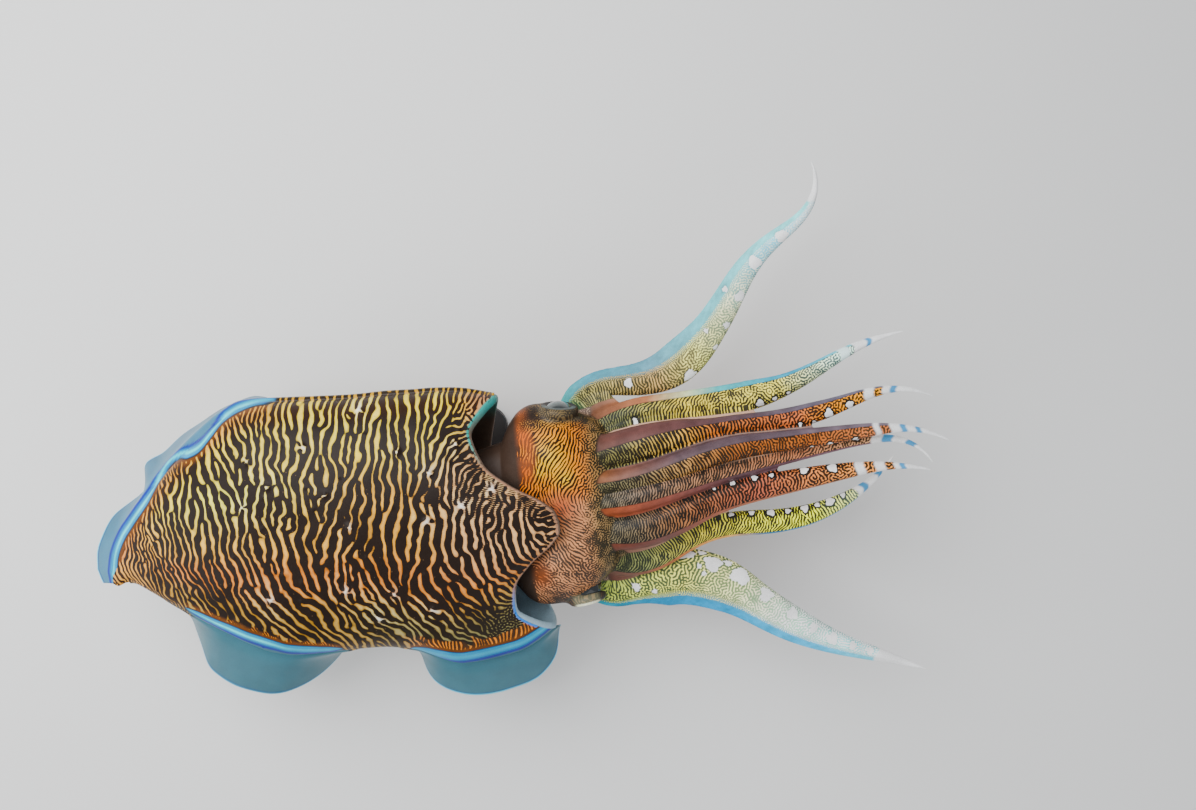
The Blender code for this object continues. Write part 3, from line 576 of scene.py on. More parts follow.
def paintMantle(points, station, upper, outside):
    x, y, z = points.T
    half = curve(mantle["halfWidth"], station)
    side = (y - curve(mantle["middle"], station)) / half
    off, rel = side * half, np.abs(side)
    noise = lambda size, seed: softNoise(points[:, :2], size, seed)
    inside = insideEdge(x, y)
    granular = upper * between(250, 268, x) * between(0.6, 0.75, -side) * between(12, 16, inside)
    lines = mixed(zebraLines(x, y), tileLines(netTile, x, y, 2.0), granular)
    # short bars at right angles to the edge, in the rusty strip beside the stripe
    strip = inside - curve(stripe[-1]["centre"], x) - curve(stripe[-1]["half"], x)
    wide = np.where(x > 180, 8.5, 4.5) + 1.8 * noise(5, 117)
    bars = upper * (side < 0) * between(0.5, 1.5, strip) * between(wide + 1, wide - 1, strip)
    bars = bars * np.maximum(between(203, 214, x), between(60, 75, x) * between(158, 146, x))
    barLines = tileLines(barTile, x + 1.3 * noise(9, 118), inside * 0.4, np.where(x > 180, 2.5, 1.7))
    lines = mixed(lines, barLines + 0.2 * (x > 180), bars)
    level = 0.72 + 0.2 * noise(16, 114) + 0.12 * noise(50, 115) + 0.16 * noise(5, 116)
    level = level - 0.25 * between(20, 8, inside) - 0.22 * between(238, 280, x) - 0.2 * between(60, 15, x)
    value = np.where(upper > 0.5, lines - level, -1.0)
    far = np.min([np.hypot(x - starX, y - starY) for starX, starY in mantle["stars"]], axis=0)
    star, pale = hill(far, 0, 3.2), hill(far, 0, 11)

    ground = coats(
        (30, 16, 8),
        ((40, 30, 14), 0.6 * between(0.45, 0.85, -side) * between(120, 200, x)),
        ((64, 30, 12), 0.6 * between(16, 5, inside)),
        ((92, 44, 18), 0.8 * bars))
    tint = coats(
        (216, 176, 98),
        ((222, 228, 150), 0.9 * hill(x - 92, off - 36, 62, 24)),
        ((218, 200, 50), between(0.34, 0.70, side) * between(270, 235, x)),
        ((214, 146, 44), between(-0.02, -0.24, side) * between(20, 60, x) * 0.9),
        ((188, 150, 52), between(-0.30, -0.60, side) * 0.85),
        ((148, 132, 76), between(-0.40, -0.75, side) * between(150, 220, x)),
        ((208, 178, 148),
         0.85 * between(215, 255, x) * between(-0.38, -0.05, side) * between(0.8, 0.5, side)),
        ((200, 150, 104), between(248, 268, x) * between(0.35, 0.6, side)),
        ((216, 168, 96), 0.6 * between(60, 12, x)),
        ((212, 128, 44), 0.7 * between(17, 7, inside) * between(150, 118, x) * (side > 0)),
        ((222, 168, 96), 0.8 * between(20, 13, inside) * (side < 0) * between(190, 215, x)),
        ((222, 164, 56), 0.85 * bars))
    core = between(0.1, 1.0, value)
    rim = between(281.8, 283.4, station) * upper
    tint = coats(
        tint * (0.66 + 0.42 * core[:, None]),
        ((238, 226, 190), core * (0.12 * (1 - bars) + 0.4 * pale)),
        ((248, 244, 226), star * (0.15 + 0.75 * core)),
        ((176, 140, 116), rim),
        ((52, 176, 168), rim * between(0.45, 0.75, side)),
        ((40, 170, 214), rim * between(0.45, 0.75, -side)))
    value = value + rim * 1.6
    belly = coats(  # pale with a faint warm net
        (206, 198, 190),
        ((176, 150, 136), 0.5 * ease(tileLines(netTile, x, y, 7.0))),
        ((96, 62, 40), 0.8 * between(-14, -2, z)))
    ground = coats(ground, (belly, (1 - upper) * outside))
    for way in (1, -1):
        here = side * way > 0
        painted, keep = paintStripe(way, x[here], inside[here], ground[here])
        seen = outside[here] * np.where(upper[here] > 0.5, 1.0, between(5, 2, inside[here]))
        ground[here] = coats(ground[here], (painted, seen))
        value[here] = value[here] - 4 * (1 - keep) * outside[here]
    pocket = coats(
        (140, 118, 102),
        ((80, 170, 166), between(0.72, 0.97, rel) * 0.9),
        ((176, 190, 196), between(0.5, 0.75, -side)))
    return coats(ground, (pocket, 1 - outside)), np.where(outside > 0.5, value, -1.0), tint


def buildMantle():
    stations = stationsFor(mantle["rows"], mantle["rowPower"])
    front, wall = mantle["front"], mantle["wall"]
    rings = [mantleRing(s) for s in stations]
    for turn in np.linspace(0, math.pi, 9)[1:]:
        rings.append(mantleRing(front, wall / 2 * (1 - math.cos(turn)), 1.5 * math.sin(turn)))
    rings += [mantleRing(s, wall) for s in np.linspace(front - 1.5, mantle["wallEnd"], 20)]
    back = mantleRing(mantle["wallEnd"], wall)
    back[:, 0] = mantle["pocket"]
    centre = back.mean(axis=0)
    rings += [centre + (back - centre) * share for share in (1.0, 0.7, 0.35)]
    points, faces = closedTube(rings, (rings[0].mean(axis=0) - (0.2, 0, 0), centre))
    thing = facesOutward(meshFrom("mantle_skin_surface", points, faces))
    n, columns = len(points), len(rings[0])
    skinCount = len(stations) * columns
    outside = np.zeros(n)
    outside[:skinCount] = outside[-2] = 1
    upper = (np.arange(n) % columns < mantle["upperSteps"]).astype(float)
    station = np.concatenate([np.repeat(stations, columns), np.full(n - skinCount, front)])
    x, y, _ = points.T
    rel = np.abs(y - curve(mantle["middle"], station)) / curve(mantle["halfWidth"], station)

    # soft muscle swells, small papillae and the taller white stars
    swell = 0.35 * softNoise(points, 34, 3) + 0.14 * softNoise(points, 11, 4)
    starGaps = [np.hypot(x - starX, y - starY) for starX, starY in mantle["stars"]]
    height = hill(np.min(starGaps, axis=0), 0, 2.0)
    random = np.random.default_rng(21)
    for _ in range(mantle["smallPapillae"]):
        px, py, size = random.uniform(30, 285), random.uniform(-70, 80), random.uniform(0.9, 1.5)
        near = (np.abs(x - px) < 5) & (np.abs(y - py) < 5)
        far = np.hypot(x[near] - px, y[near] - py)
        height[near] = np.maximum(height[near], 0.4 * hill(far, 0, size))
    shift = outside * between(1.0, 0.93, rel) * (swell + upper * mantle["papillae"] * height)
    normals = readBack(thing.data.vertex_normals, "vector", 3).astype(float)
    movePoints(thing.data, toFrame(points + normals * shift[:, None]))
    paint(thing, *paintMantle(points, station, upper, outside))
    dress(thing, paintedSkin("mantlePaint", 0.48, 0.02, 0.3, dots=0.4))
    return thing


mantlePiece = buildMantle()
print("mantle built:", len(mantlePiece.data.vertices), "points")

# The fins: one thin sheet each side that hangs and folds, with a neon line along its root.
fins = {
    "width": ((-6, 9), (0, 13), (10, 18), (20, 23), (50, 33), (75, 41.5), (100, 42), (120, 38), (150, 33),
              (200, 32), (250, 32), (270, 26), (284, 16)),
    "leftSpread": ((-6, 10), (0, 13), (4, 15), (10, 15), (20, 11), (29, 7), (35, 16), (40, 20), (46, 14),
                   (60, 12.5), (73, 9), (92, 4), (105, 0), (120, -6), (135, -13), (262, -13), (284, -3)),
    "rightSpread": ((0, -2), (30, -4), (40, 8), (58, 27), (73, 40), (89, 41.5), (105, 40), (120, 31),
                    (139, 15), (153, 1), (170, -6), (186, -4), (196, 8), (207, 22), (222, 30.5),
                    (238, 31.5), (255, 30.5), (270, 22), (281, 8), (295, -2)),
    "thickness": ((0, 4.0), (0.1, 3.2), (0.4, 2.0), (0.9, 1.0), (1, 0.5)),
    "leftStart": -6.0, "rightStart": 11.2, "roll": 0.2, "step": 0.75, "across": 44, "sunk": 1.0,
    "ruffle": 0.28, "ruffleLength": 31.0, "widestFold": -0.225,
}


def blurred(values, reach, size):  # along the fin's root, with its ends held
    weights = np.exp(-(np.arange(-reach, reach + 1) * fins["step"] / size) ** 2)
    return np.convolve(np.pad(values, reach, mode="edge"), weights / weights.sum(), "valid")


def finRoot(side):
    n = 900
    if side > 0:
        stations = stationsFor(n, 1.2)
        line = np.vstack([mantlePoints(np.zeros(1), np.full(1, math.pi), True),
                          mantlePoints(stations, np.zeros(n), True)])
        stations = np.concatenate([[fins["leftStart"]], stations])
    else:
        start = fins["rightStart"]
        stations = start + (mantle["front"] - start) * np.linspace(0, 1, n) ** 1.1
        line = mantlePoints(stations, np.full(n, math.pi), True)
    length = np.concatenate([[0], np.cumsum(np.linalg.norm(np.diff(line[:, :2], axis=0), axis=1))])
    even = np.arange(0, length[-1], fins["step"])
    line = np.stack([np.interp(even, length, line[:, k]) for k in range(2)], axis=1)
    run = np.gradient(line, axis=0)
    run = np.stack([blurred(run[:, k], 26, 8.5) for k in range(2)], axis=1)
    run /= np.linalg.norm(run, axis=1)[:, None]
    away = side * np.stack([-run[:, 1], run[:, 0]], axis=1)
    return even, np.interp(even, length, stations), line - away * fins["sunk"], away


def buildFin(name, side, spreadOut, material):
    along, stations, root, away = finRoot(side)
    width = curve(fins["width"], stations) + fins["sunk"]
    shown = np.clip((curve(spreadOut, stations) - 1.5) / (width - 1.5), fins["widestFold"], 0.98)
    shown = blurred(shown, 14, 5.0)
    v, fineV = np.linspace(0, 1, fins["across"]), np.linspace(0, 1, 201)
    roll = fins["roll"] * (1 - 0.45 * between(0.0, -0.2, shown))
    turn = -np.arccos(shown)[:, None] * ease(fineV / roll[:, None])
    middleTurn = (turn[:, 1:] + turn[:, :-1]) / 2
    pick = np.round(v * 200).astype(int)
    reach, fall = (np.hstack([0 * width[:, None], np.cumsum(part(middleTurn), axis=1) / 200])[:, pick]
                   * width[:, None] for part in (np.cos, np.sin))
    turn = turn[:, pick]
    wander = softNoise(np.stack([along, along * 0], axis=1), 60, 30 + side)
    wave = np.sin(2 * math.pi * along / fins["ruffleLength"] + 1.6 * wander)
    ends = between(0, 18, along) * between(0, 18, along[-1] - along)
    lift = fins["ruffle"] * (wave * ends)[:, None] * v**1.4
    sheets = []
    for sign in (1, -1):
        rise = sign * curve(fins["thickness"], v) / 2 + lift
        plan = root[:, None, :] + (reach - np.sin(turn) * rise)[..., None] * away[:, None, :]
        sheets.append(np.concatenate([plan, (fall + np.cos(turn) * rise)[..., None]], axis=2))
    grid = np.concatenate([sheets[0], sheets[1][:, ::-1]], axis=1)
    points, faces = closedTube(grid)
    thing = facesOutward(meshFrom(name, points, faces))
    vAll, columns = np.concatenate([v, v[::-1]]), 2 * len(v)
    overGrid = lambda table, ends: np.concatenate([np.ravel(table), ends])
    past = overGrid(vAll[None, :] * width[:, None], [5, 5]) - fins["sunk"]  # mm out from the fin line
    fromMargin = overGrid((1 - vAll)[None, :] * width[:, None], [5, 5])
    s = overGrid(np.repeat(along, columns), [0, along[-1]])
    rootX = overGrid(np.repeat(root[:, 0], columns), [root[0, 0], root[-1, 0]])
    plane = np.stack([s, past], axis=1)
    fibres = tileLines(barTile, s, past * 0.25, 2.6)  # faint muscle fibres run out to the margin
    folded = 1 - between(0.2, 1.2, curve(stripe[side]["half"], rootX))
    ground = coats(
        finTint[side],
        (finTint[side] * 1.45, 0.5 * ease(softNoise(plane, 26, 31))),
        (finTint[side] * 0.62, 0.6 * ease(softNoise(plane, 30, 33))),
        ((176, 206, 216), 0.16 * ease(fibres) * between(3, 8, past)),
        ((70, 62, 66), 0.22 * ease(softNoise(plane, 6, 32) - 0.4) * between(5, 9, past)),
        # the bright blue mark beside the right side's rear stripe
        ((12, 120, 226), 0.85 * (side < 0) * between(5.4, 2.6, np.hypot((rootX - 104) * 0.8, past - 3))),
        ((46, 28, 14), folded * between(9, 4, past)),
        ((150, 128, 112), 0.9 * between(262, 276, rootX) * (side > 0)))
    ground = coats(
        paintStripe(side, rootX, -past, ground)[0],
        ((30, 84, 168), between(2.4, 1.5, fromMargin) * 0.6),
        ((150, 206, 228), between(1.1, 0.6, fromMargin)))
    margin = folded * between(7, 5, past)  # where the fin is folded the skin's lines run on over its root
    lines = (zebraLines(points[:, 0], points[:, 1]) + 0.4) * margin - 1
    paint(thing, ground, lines, coats(ground, ((206, 172, 62), margin)))
    setValues(thing, "clear", between(5, 16, past) * between(0.0, 1.6, fromMargin))
    dress(thing, material)
    return thing


finPaint = paintedSkin("finPaint", 0.34, 0.12, 0.2, patch=0.06, grain=0.05)
finTree = finPaint.node_tree
clearPart = mathNode(finTree, "MULTIPLY", readValues(finTree, "clear", "Fac"), 0.16)
setSurface(finPaint, {"Alpha": mathNode(finTree, "SUBTRACT", 1.0, clearPart), "Subsurface Weight": 0.3,
                      "Subsurface Radius": (1.0, 0.5, 0.3), "Subsurface Scale": 0.0012})
leftFin = buildFin("fin_frill_left", 1, fins["leftSpread"], finPaint)
rightFin = buildFin("fin_frill_right", -1, fins["rightSpread"], finPaint)
print("fins built")

# Head, eyes, neck and funnel.
head = {
    "halfWidth": ((276, 50), (282, 60), (290, 67), (300, 69.5), (312, 68.5), (322, 64), (332, 58), (340, 53),
                  (345, 46), (348, 37)),
    "middle": ((276, 3), (300, 7), (320, 6.5), (340, 9), (348, 10)),
    "top": ((276, 21), (290, 24), (305, 26), (320, 27.5), (335, 27), (343, 22), (348, 15)),
    "bottom": ((276, 20), (290, 22), (305, 25), (320, 28), (335, 27), (343, 21), (348, 14)),
    "domeHeight": 7.0, "domePlace": (307.0, 40.0), "domeSpread": (16.0, 15.0),
    "eyeRadius": 11.5, "eyes": {"left": (316.0, 65.8, 3.5), "right": (321.5, -53.5, 3.5)},
    "axisLift": 10.0, "axisForward": 8.0, "lidRadius": 10.6, "lidReach": 6.6,
}
neck = {"start": 236, "length": 40, "middle": 3, "halfWidth": 50, "top": 21, "bottom": 18, "waist": 0.08}
funnel = {
    "halfWidth": ((246, 22), (275, 20), (295, 14), (315, 8.5)),
    "halfHeight": ((246, 9), (275, 9), (295, 8), (315, 6.2)),
    "middle": ((246, 2), (275, 4), (315, 8)), "level": ((246, -27), (275, -29.5), (295, -31.5), (315, -35)),
    "wall": 2.0,
}
sideOf = {"left": 1, "right": -1}


def headRing(station):
    angle = fullTurn(120)
    y = rounded(np.cos(angle), 0.9) * curve(head["halfWidth"], station)
    lift = rounded(np.sin(angle), 0.8)
    domeX, domeY = head["domePlace"]
    dome = head["domeHeight"] * hill(station - domeX, np.abs(y) - domeY, *head["domeSpread"])
    above = lift * curve(head["top"], station) + dome * np.minimum(1, lift * 3)
    z = np.where(lift > 0, above, lift * curve(head["bottom"], station))
    return ringAt(station, curve(head["middle"], station) + y, z)


def neckRing(station):
    angle = fullTurn(90)
    waist = 1 - neck["waist"] * math.sin(math.pi * (station - neck["start"]) / neck["length"])
    lift = rounded(np.sin(angle), 0.85)
    y = neck["middle"] + rounded(np.cos(angle), 0.9) * neck["halfWidth"] * waist
    return ringAt(station, y, lift * np.where(lift > 0, neck["top"], neck["bottom"]) * waist)


def funnelRing(station, wall):
    angle = fullTurn(60)
    y = curve(funnel["middle"], station) + np.cos(angle) * (curve(funnel["halfWidth"], station) - wall)
    z = curve(funnel["level"], station) + np.sin(angle) * (curve(funnel["halfHeight"], station) - wall)
    return ringAt(station, y, z)


def eyeAxes(side):
    lift, forward = math.radians(head["axisLift"]), math.radians(head["axisForward"])
    axis = np.array([math.sin(forward), side * math.cos(forward) * math.cos(lift), math.sin(lift)])
    axis /= np.linalg.norm(axis)
    up = np.array([0, 0, 1]) - axis * axis[2]
    up /= np.linalg.norm(up)
    return axis, up, np.cross(up, axis)


def lidRing(side, centre, steps=72, sides=20):
    axis, up, along = eyeAxes(side)
    turn = fullTurn(sides)[:, None]
    rings = []
    for angle in fullTurn(steps):
        out = up * math.cos(angle) + along * math.sin(angle)
        weight = 2.6 + 1.0 * math.cos(angle)
        middle = np.array(centre) + axis * head["lidReach"] + out * head["lidRadius"]
        rings.append(middle + out * np.cos(turn) * weight * 1.3 + axis * np.sin(turn) * weight)
    return np.vstack(rings), (ringFaces(steps + 1, sides) % (steps * sides)).tolist()


# The arms: root, length, section, heading and climb along the length, breadth from root to tip.
arms = {
    "left_1": {"root": (334, 22, 19), "length": 241, "flatness": 0.82, "tilt": 6, "keel": 0,
               "heading": (2, 14, 1, 1, -32), "climb": (16, -1, -2, -7),
               "breadth": (14, 14.5, 15.8, 16.2, 14.2, 12.3, 9.8, 4.8, 1.2)},
    "right_1": {"root": (334, 7, 18), "length": 238, "flatness": 0.82, "tilt": -6, "keel": 0,
                "heading": (5, 11, 8, 7, 0, -61), "climb": (23, -9, -4, -1),
                "breadth": (14, 16.5, 15, 12, 11, 10, 7.5, 4.5, 1.2)},
    "left_2": {"root": (334, 38.6, 11), "length": 233, "flatness": 0.74, "tilt": 12, "keel": 0.1,
               "heading": (14, 7, 0.4, 15, -29), "climb": (16, -1, 1, -7),
               "breadth": (24, 24.3, 20.8, 13, 12.8, 14, 10, 5, 1.2)},
    "right_2": {"root": (334, -13.4, 11), "length": 229, "flatness": 0.7, "tilt": -12, "keel": 0.1,
                "heading": (-10, 20, 7.3, 4, -19), "climb": (16, -1, 1, -7),
                "breadth": (21.5, 24.5, 23.5, 19, 17.5, 15, 11, 5.5, 1.2)},
    "left_3": {"root": (334, 52, -4), "length": 222, "flatness": 0.62, "tilt": 16, "keel": 0.3,
               "heading": (34, 0, 7, 26, 6), "climb": (10, 2, 5, 2),
               "breadth": (16, 18, 19, 20.4, 20.2, 14.7, 9.8, 5.8, 1.2)},
    "right_3": {"root": (334, -36, -4), "length": 220, "flatness": 0.62, "tilt": -16, "keel": 0.3,
                "heading": (-30, 29, -3, 19, 52), "climb": (10, 1, -1, 4),
                "breadth": (16, 17, 17, 18, 18, 16, 12, 6, 1.2)},
    "left_4": {"root": (320, 60, -18), "length": 257, "flatness": 0.42, "tilt": 8, "keel": 0.5,
               "heading": (78, -1, 40, 57, 33, 111), "climb": (5, 9, 11, 9),
               "breadth": (15, 18.5, 23, 29, 22.5, 17.6, 12.2, 6.6, 1.2)},
    "right_4": {"root": (322, -50, -18), "length": 262, "flatness": 0.36, "tilt": -8, "keel": 0.5,
                "heading": (-81, 21, -16, -38, -31, -21, -22), "climb": (5, 2, 0, 5),
                "breadth": (15.7, 21, 43, 40.5, 31, 25.6, 17, 9.6, 1.2)},
}
armGrid = {"rows": 130, "sides": 32}


def armFrames(arm, t):
    steps = 240
    middles = (np.arange(steps) + 0.5) / steps
    heading, climb = (np.radians(spread(arm[way], middles)) for way in ("heading", "climb"))
    ahead = ringAt(np.cos(heading) * np.cos(climb), np.sin(heading) * np.cos(climb), np.sin(climb))
    run = np.cumsum(ahead * arm["length"] / steps, axis=0)
    centres = np.vstack([arm["root"], np.array(arm["root"]) + run])
    places = np.linspace(0, 1, steps + 1)
    centre, forward = (np.stack([np.interp(t, places, table[:, k]) for k in range(3)], axis=1)
                       for table in (centres, np.vstack([ahead[0], ahead])))
    forward /= np.linalg.norm(forward, axis=1)[:, None]
    sideways = np.cross((0, 0, 1), forward)
    sideways /= np.linalg.norm(sideways, axis=1)[:, None]
    tilt = (math.radians(arm["tilt"]) * (1 - t))[:, None]
    leaned = sideways * np.cos(tilt) - np.cross(forward, sideways) * np.sin(tilt)
    return centre, forward, leaned, np.cross(forward, leaned)


def armSize(arm, t):
    breadth = spread(arm["breadth"], t)
    return breadth, breadth * mixed(arm["flatness"], 0.95, between(0.45, 1, t))


def keelShare(arm, across):  # the outer side of a flat arm runs out to an edge
    return 1 - arm["keel"] * np.maximum(0, across * outerSide(arm)) ** 0.8


def outerSide(arm):
    return 1 if arm["root"][1] > 14 else -1


def armSkin(arm):
    t = np.linspace(0, 1, armGrid["rows"])
    centre, forward, sideways, upward = armFrames(arm, t)
    breadth, depth = armSize(arm, t)
    angle = fullTurn(armGrid["sides"])
    across = np.cos(angle)
    fore = breadth[:, None] / 2 * across
    rise = depth[:, None] / 2 * np.sin(angle) * keelShare(arm, across)
    grid = centre[:, None] + sideways[:, None] * fore[..., None] + upward[:, None] * rise[..., None]
    return closedTube(grid, (centre[0], centre[-1] + forward[-1] * 0.8))


# How far the web of skin reaches along each two neighbouring arms.
webs = (("left_4", "left_3", 0.15), ("left_3", "left_2", 0.50), ("left_2", "left_1", 0.63),
        ("left_1", "right_1", 0.7), ("right_1", "right_2", 0.54), ("right_2", "right_3", 0.42),
        ("right_3", "right_4", 0.15))


def webSkin(first, second, reach):
    t = np.linspace(0.02, reach, 60)
    half = (0.5 + 0.6 * between(reach, reach * 0.6, t))[:, None]
    ends = []
    for arm in (arms[first], arms[second]):
        centre, _, _, upward = armFrames(arm, t)
        ends.append((centre + upward * (0.02 * armSize(arm, t)[1])[:, None], upward))
    corners = [ends[i][0] + sign * half * ends[i][1] for i, sign in ((0, 1), (1, 1), (1, -1), (0, -1))]
    return closedTube(np.stack(corners, axis=1))


skin = {"voxel": 0.65, "smoothRounds": 3, "crownRounds": 34, "lidRounds": 60, "armsFrom": 312, "headTo": 372}


def joinShells(shells):
    points, faces, owners = [], [], []
    start = 0
    for owner, (p, f) in enumerate(shells):
        points.append(p)
        faces += [tuple(k + start for k in face) for face in f]
        owners += [owner] * len(f)
        start += len(p)
    return np.vstack(points), faces, np.array(owners)


def fuse(name, shells):
    rough = meshFrom("fuse_source", *joinShells(shells)[:2])
    modifier = rough.modifiers.new("fuse", "REMESH")
    modifier.mode = "VOXEL"
    modifier.voxel_size = skin["voxel"] * 0.001
    modifier.adaptivity = 0.0
    mesh = bpy.data.meshes.new_from_object(rough.evaluated_get(bpy.context.evaluated_depsgraph_get()))
    bpy.data.objects.remove(rough)
    mesh.name = name
    mesh.shade_smooth()
    return linked(name, mesh)


def relax(points, edges, weight, rounds):
    n = len(points)
    degree = np.bincount(edges.ravel(), minlength=n)[:, None]
    for _ in range(rounds):
        total = np.stack([np.bincount(edges[:, 0], points[edges[:, 1], k], n)
                          + np.bincount(edges[:, 1], points[edges[:, 0], k], n) for k in range(3)], axis=1)
        points = points + (total / degree - points) * (0.5 * weight)[:, None]
    return points


def nearestFace(points, near, shells):  # the face and the distance, where near says so
    tree = BVHTree.FromPolygons(shells[0].tolist(), shells[1])
    index, distance = np.zeros(len(points), int), np.full(len(points), 99.0)
    for i in np.flatnonzero(near).tolist():
        _, _, index[i], distance[i] = tree.find_nearest(points[i].tolist())
    return index, distance


def lookAtEye(points, name):  # depth along the eye's axis, distance from it, and the offsets up and forward
    axis, up, forward = eyeAxes(sideOf[name])
    offset = points - np.array(head["eyes"][name])
    depth = offset @ axis
    return depth, np.linalg.norm(offset - depth[:, None] * axis, axis=1), offset @ up, offset @ forward


def buildBody():
    headShell = closedTube([headRing(s) for s in [*np.linspace(276, 340, 44), *np.linspace(341, 348, 12)]])
    neckShell = closedTube([neckRing(s) for s in np.linspace(235.0, 284, 26)])
    funnelShell = closedTube([funnelRing(s, 0) for s in np.linspace(246, 315, 36)]
                             + [funnelRing(s, funnel["wall"]) for s in np.linspace(314.6, 286, 16)])
    lids = [lidRing(sideOf[name], centre) for name, centre in head["eyes"].items()]
    armShells = [armSkin(arm) for arm in arms.values()]
    webShells = [webSkin(*web) for web in webs]
    thing = fuse("cuttlefish_body", [headShell, neckShell, funnelShell, *lids, *armShells, *webShells])
    p = pointsOf(thing.data) * 1000 - (tailX, sideShift, finLineZ)
    edges = readBack(thing.data.edges, "vertices", 2, np.int32)
    print("body fused:", len(p), "points")
    p = relax(p, edges, np.ones(len(p)), skin["smoothRounds"])
    p = relax(p, edges, between(322, 334, p[:, 0]) * between(380, 352, p[:, 0]), skin["crownRounds"])
    for name in head["eyes"]:
        depth, ring, _, _ = lookAtEye(p, name)
        crease = between(12.2, 14.2, ring) * between(25, 19, ring) * between(-14, -8, depth)
        p = relax(p, edges, crease, skin["lidRounds"])

    armPoints, armFaces, armOwner = joinShells(armShells)
    front = p[:, 0] > skin["armsFrom"]
    faceIndex, armDistance = nearestFace(p, front, (armPoints, armFaces))
    _, headDistance = nearestFace(p, front & (p[:, 0] < skin["headTo"]), joinShells([headShell, *lids]))
    headDistance[~front] = 0
    owner = armOwner[faceIndex]
    along, t, angle, breadth = np.zeros((4, len(p)))
    rows, sides = armGrid["rows"], armGrid["sides"]
    body = (rows - 1) * sides
    for k, arm in enumerate(arms.values()):
        mine = np.where((owner == k) & front)[0]
        local = faceIndex[mine] - np.argmax(armOwner == k)
        row = np.where(local < body, local // sides, np.where((local - body) % 2 == 0, 0, rows - 1))
        guess = (row + 0.5) / (rows - 1)
        for _ in range(3):
            centre, forward, sideways, upward = armFrames(arm, np.clip(guess, 0, 1))
            offset = p[mine] - centre
            guess = np.clip(guess, 0, 1) + (offset * forward).sum(axis=1) / arm["length"]
        t[mine] = np.clip(guess, 0, 1)
        along[mine] = t[mine] * arm["length"]
        breadth[mine], deep = armSize(arm, t[mine])
        aside = (offset * sideways).sum(axis=1) * outerSide(arm) / (breadth[mine] / 2)
        # 0 on the back of the arm, + toward its outer side
        angle[mine] = np.arctan2(aside, (offset * upward).sum(axis=1) / (deep / 2))
    onArm = between(-1.0, 1.6, headDistance - armDistance) * front
    print("body mapped")
    return thing, dict(points=p, along=along, t=t, angle=angle, breadth=breadth, owner=owner, onArm=onArm)


body, bodyMap = buildBody()


def headRecipe(x, y):
    dome, low, crown, outer = between(12, 24, y), between(18, 4, y), between(322, 334, x), between(58, 68, y)
    heading = -0.5 * dome + 0.75 * low + 0.25 * np.sin(x / 7.0 + y / 11.0)
    spacing = 2.3 - 0.25 * low - 0.6 * crown - 0.6 * outer * (1 - crown)
    maze = np.clip(0.35 + 0.65 * crown + 0.65 * outer + 0.4 * between(-10, -30, y), 0, 1)
    return np.clip(spacing, 1.5, 2.6), heading, maze, None


headLines = grownMap((262, -92), (362, 104), 0.42, headRecipe, 41, 0.5)
eyeTones = {  # lid and its lines, the rim above the eye, the eye ball, its streaks and the shade over it
    "left": {"lid": (74, 64, 52), "lidLines": (128, 112, 84), "rim": (118, 126, 122), "ball": (112, 124, 122),
             "streaks": (86, 98, 98), "shade": (58, 62, 62)},
    "right": {"lid": (132, 130, 108), "lidLines": (150, 146, 122), "rim": (96, 92, 76),
              "ball": (184, 188, 152),
              "streaks": (146, 154, 120), "shade": (40, 44, 46)},
}


def paintLids(p, name, value, ground, tint):
    x, y, z = p.T
    placeX, placeY, _ = head["eyes"][name]
    way, tones = sideOf[name], eyeTones[name]
    depth, ring, high, ahead = lookAtEye(p, name)
    high = high / np.maximum(ring, 1)
    # painted shade in the hollows before and behind each eye: darker ground and tint, and fewer lines
    for hollowX, hollowY in ((placeX - 17, placeY + 6 * way), (placeX + 15, placeY + 2 * way)):
        hollowShade = hill(x - hollowX, y - hollowY, 7) * between(-8, 0, z)
        ground = coats(ground, ((40, 28, 22), 0.9 * hollowShade))
        tint = coats(tint, ((92, 66, 44), 0.9 * hollowShade))
        value = value - 0.8 * hollowShade
    lid = between(17, 14.5, ring) * between(0, 3, depth)
    calm = lid * between(-0.1, 0.6, high) if way > 0 else lid
    # the right lid has a thin pale rim below it, and painted shade in the hollows at both ends
    ends = (way < 0) * lid * between(7.5, 10.5, np.abs(ahead))
    pale = (way < 0) * lid * between(7.6, 8.8, depth) * between(9.5, 6.5, np.abs(ahead))
    rim = between(12.4, 11.4, ring) * between(3, 6, depth)
    ground = coats(
        ground,
        (tones["lid"], 0.85 * calm),
        ((52, 48, 54), 0.9 * ends),
        ((230, 234, 200), pale),
        (tones["rim"], 0.9 * rim * between(-0.2, 0.5, high)),
        ((36, 30, 30), 0.9 * rim * between(0.1, -0.4, high)))
    tint = coats(tint, (tones["lidLines"], 0.85 * calm), ((116, 84, 62), 0.9 * ends), ((236, 238, 210), pale))
    return value - 2.0 * rim, ground, tint


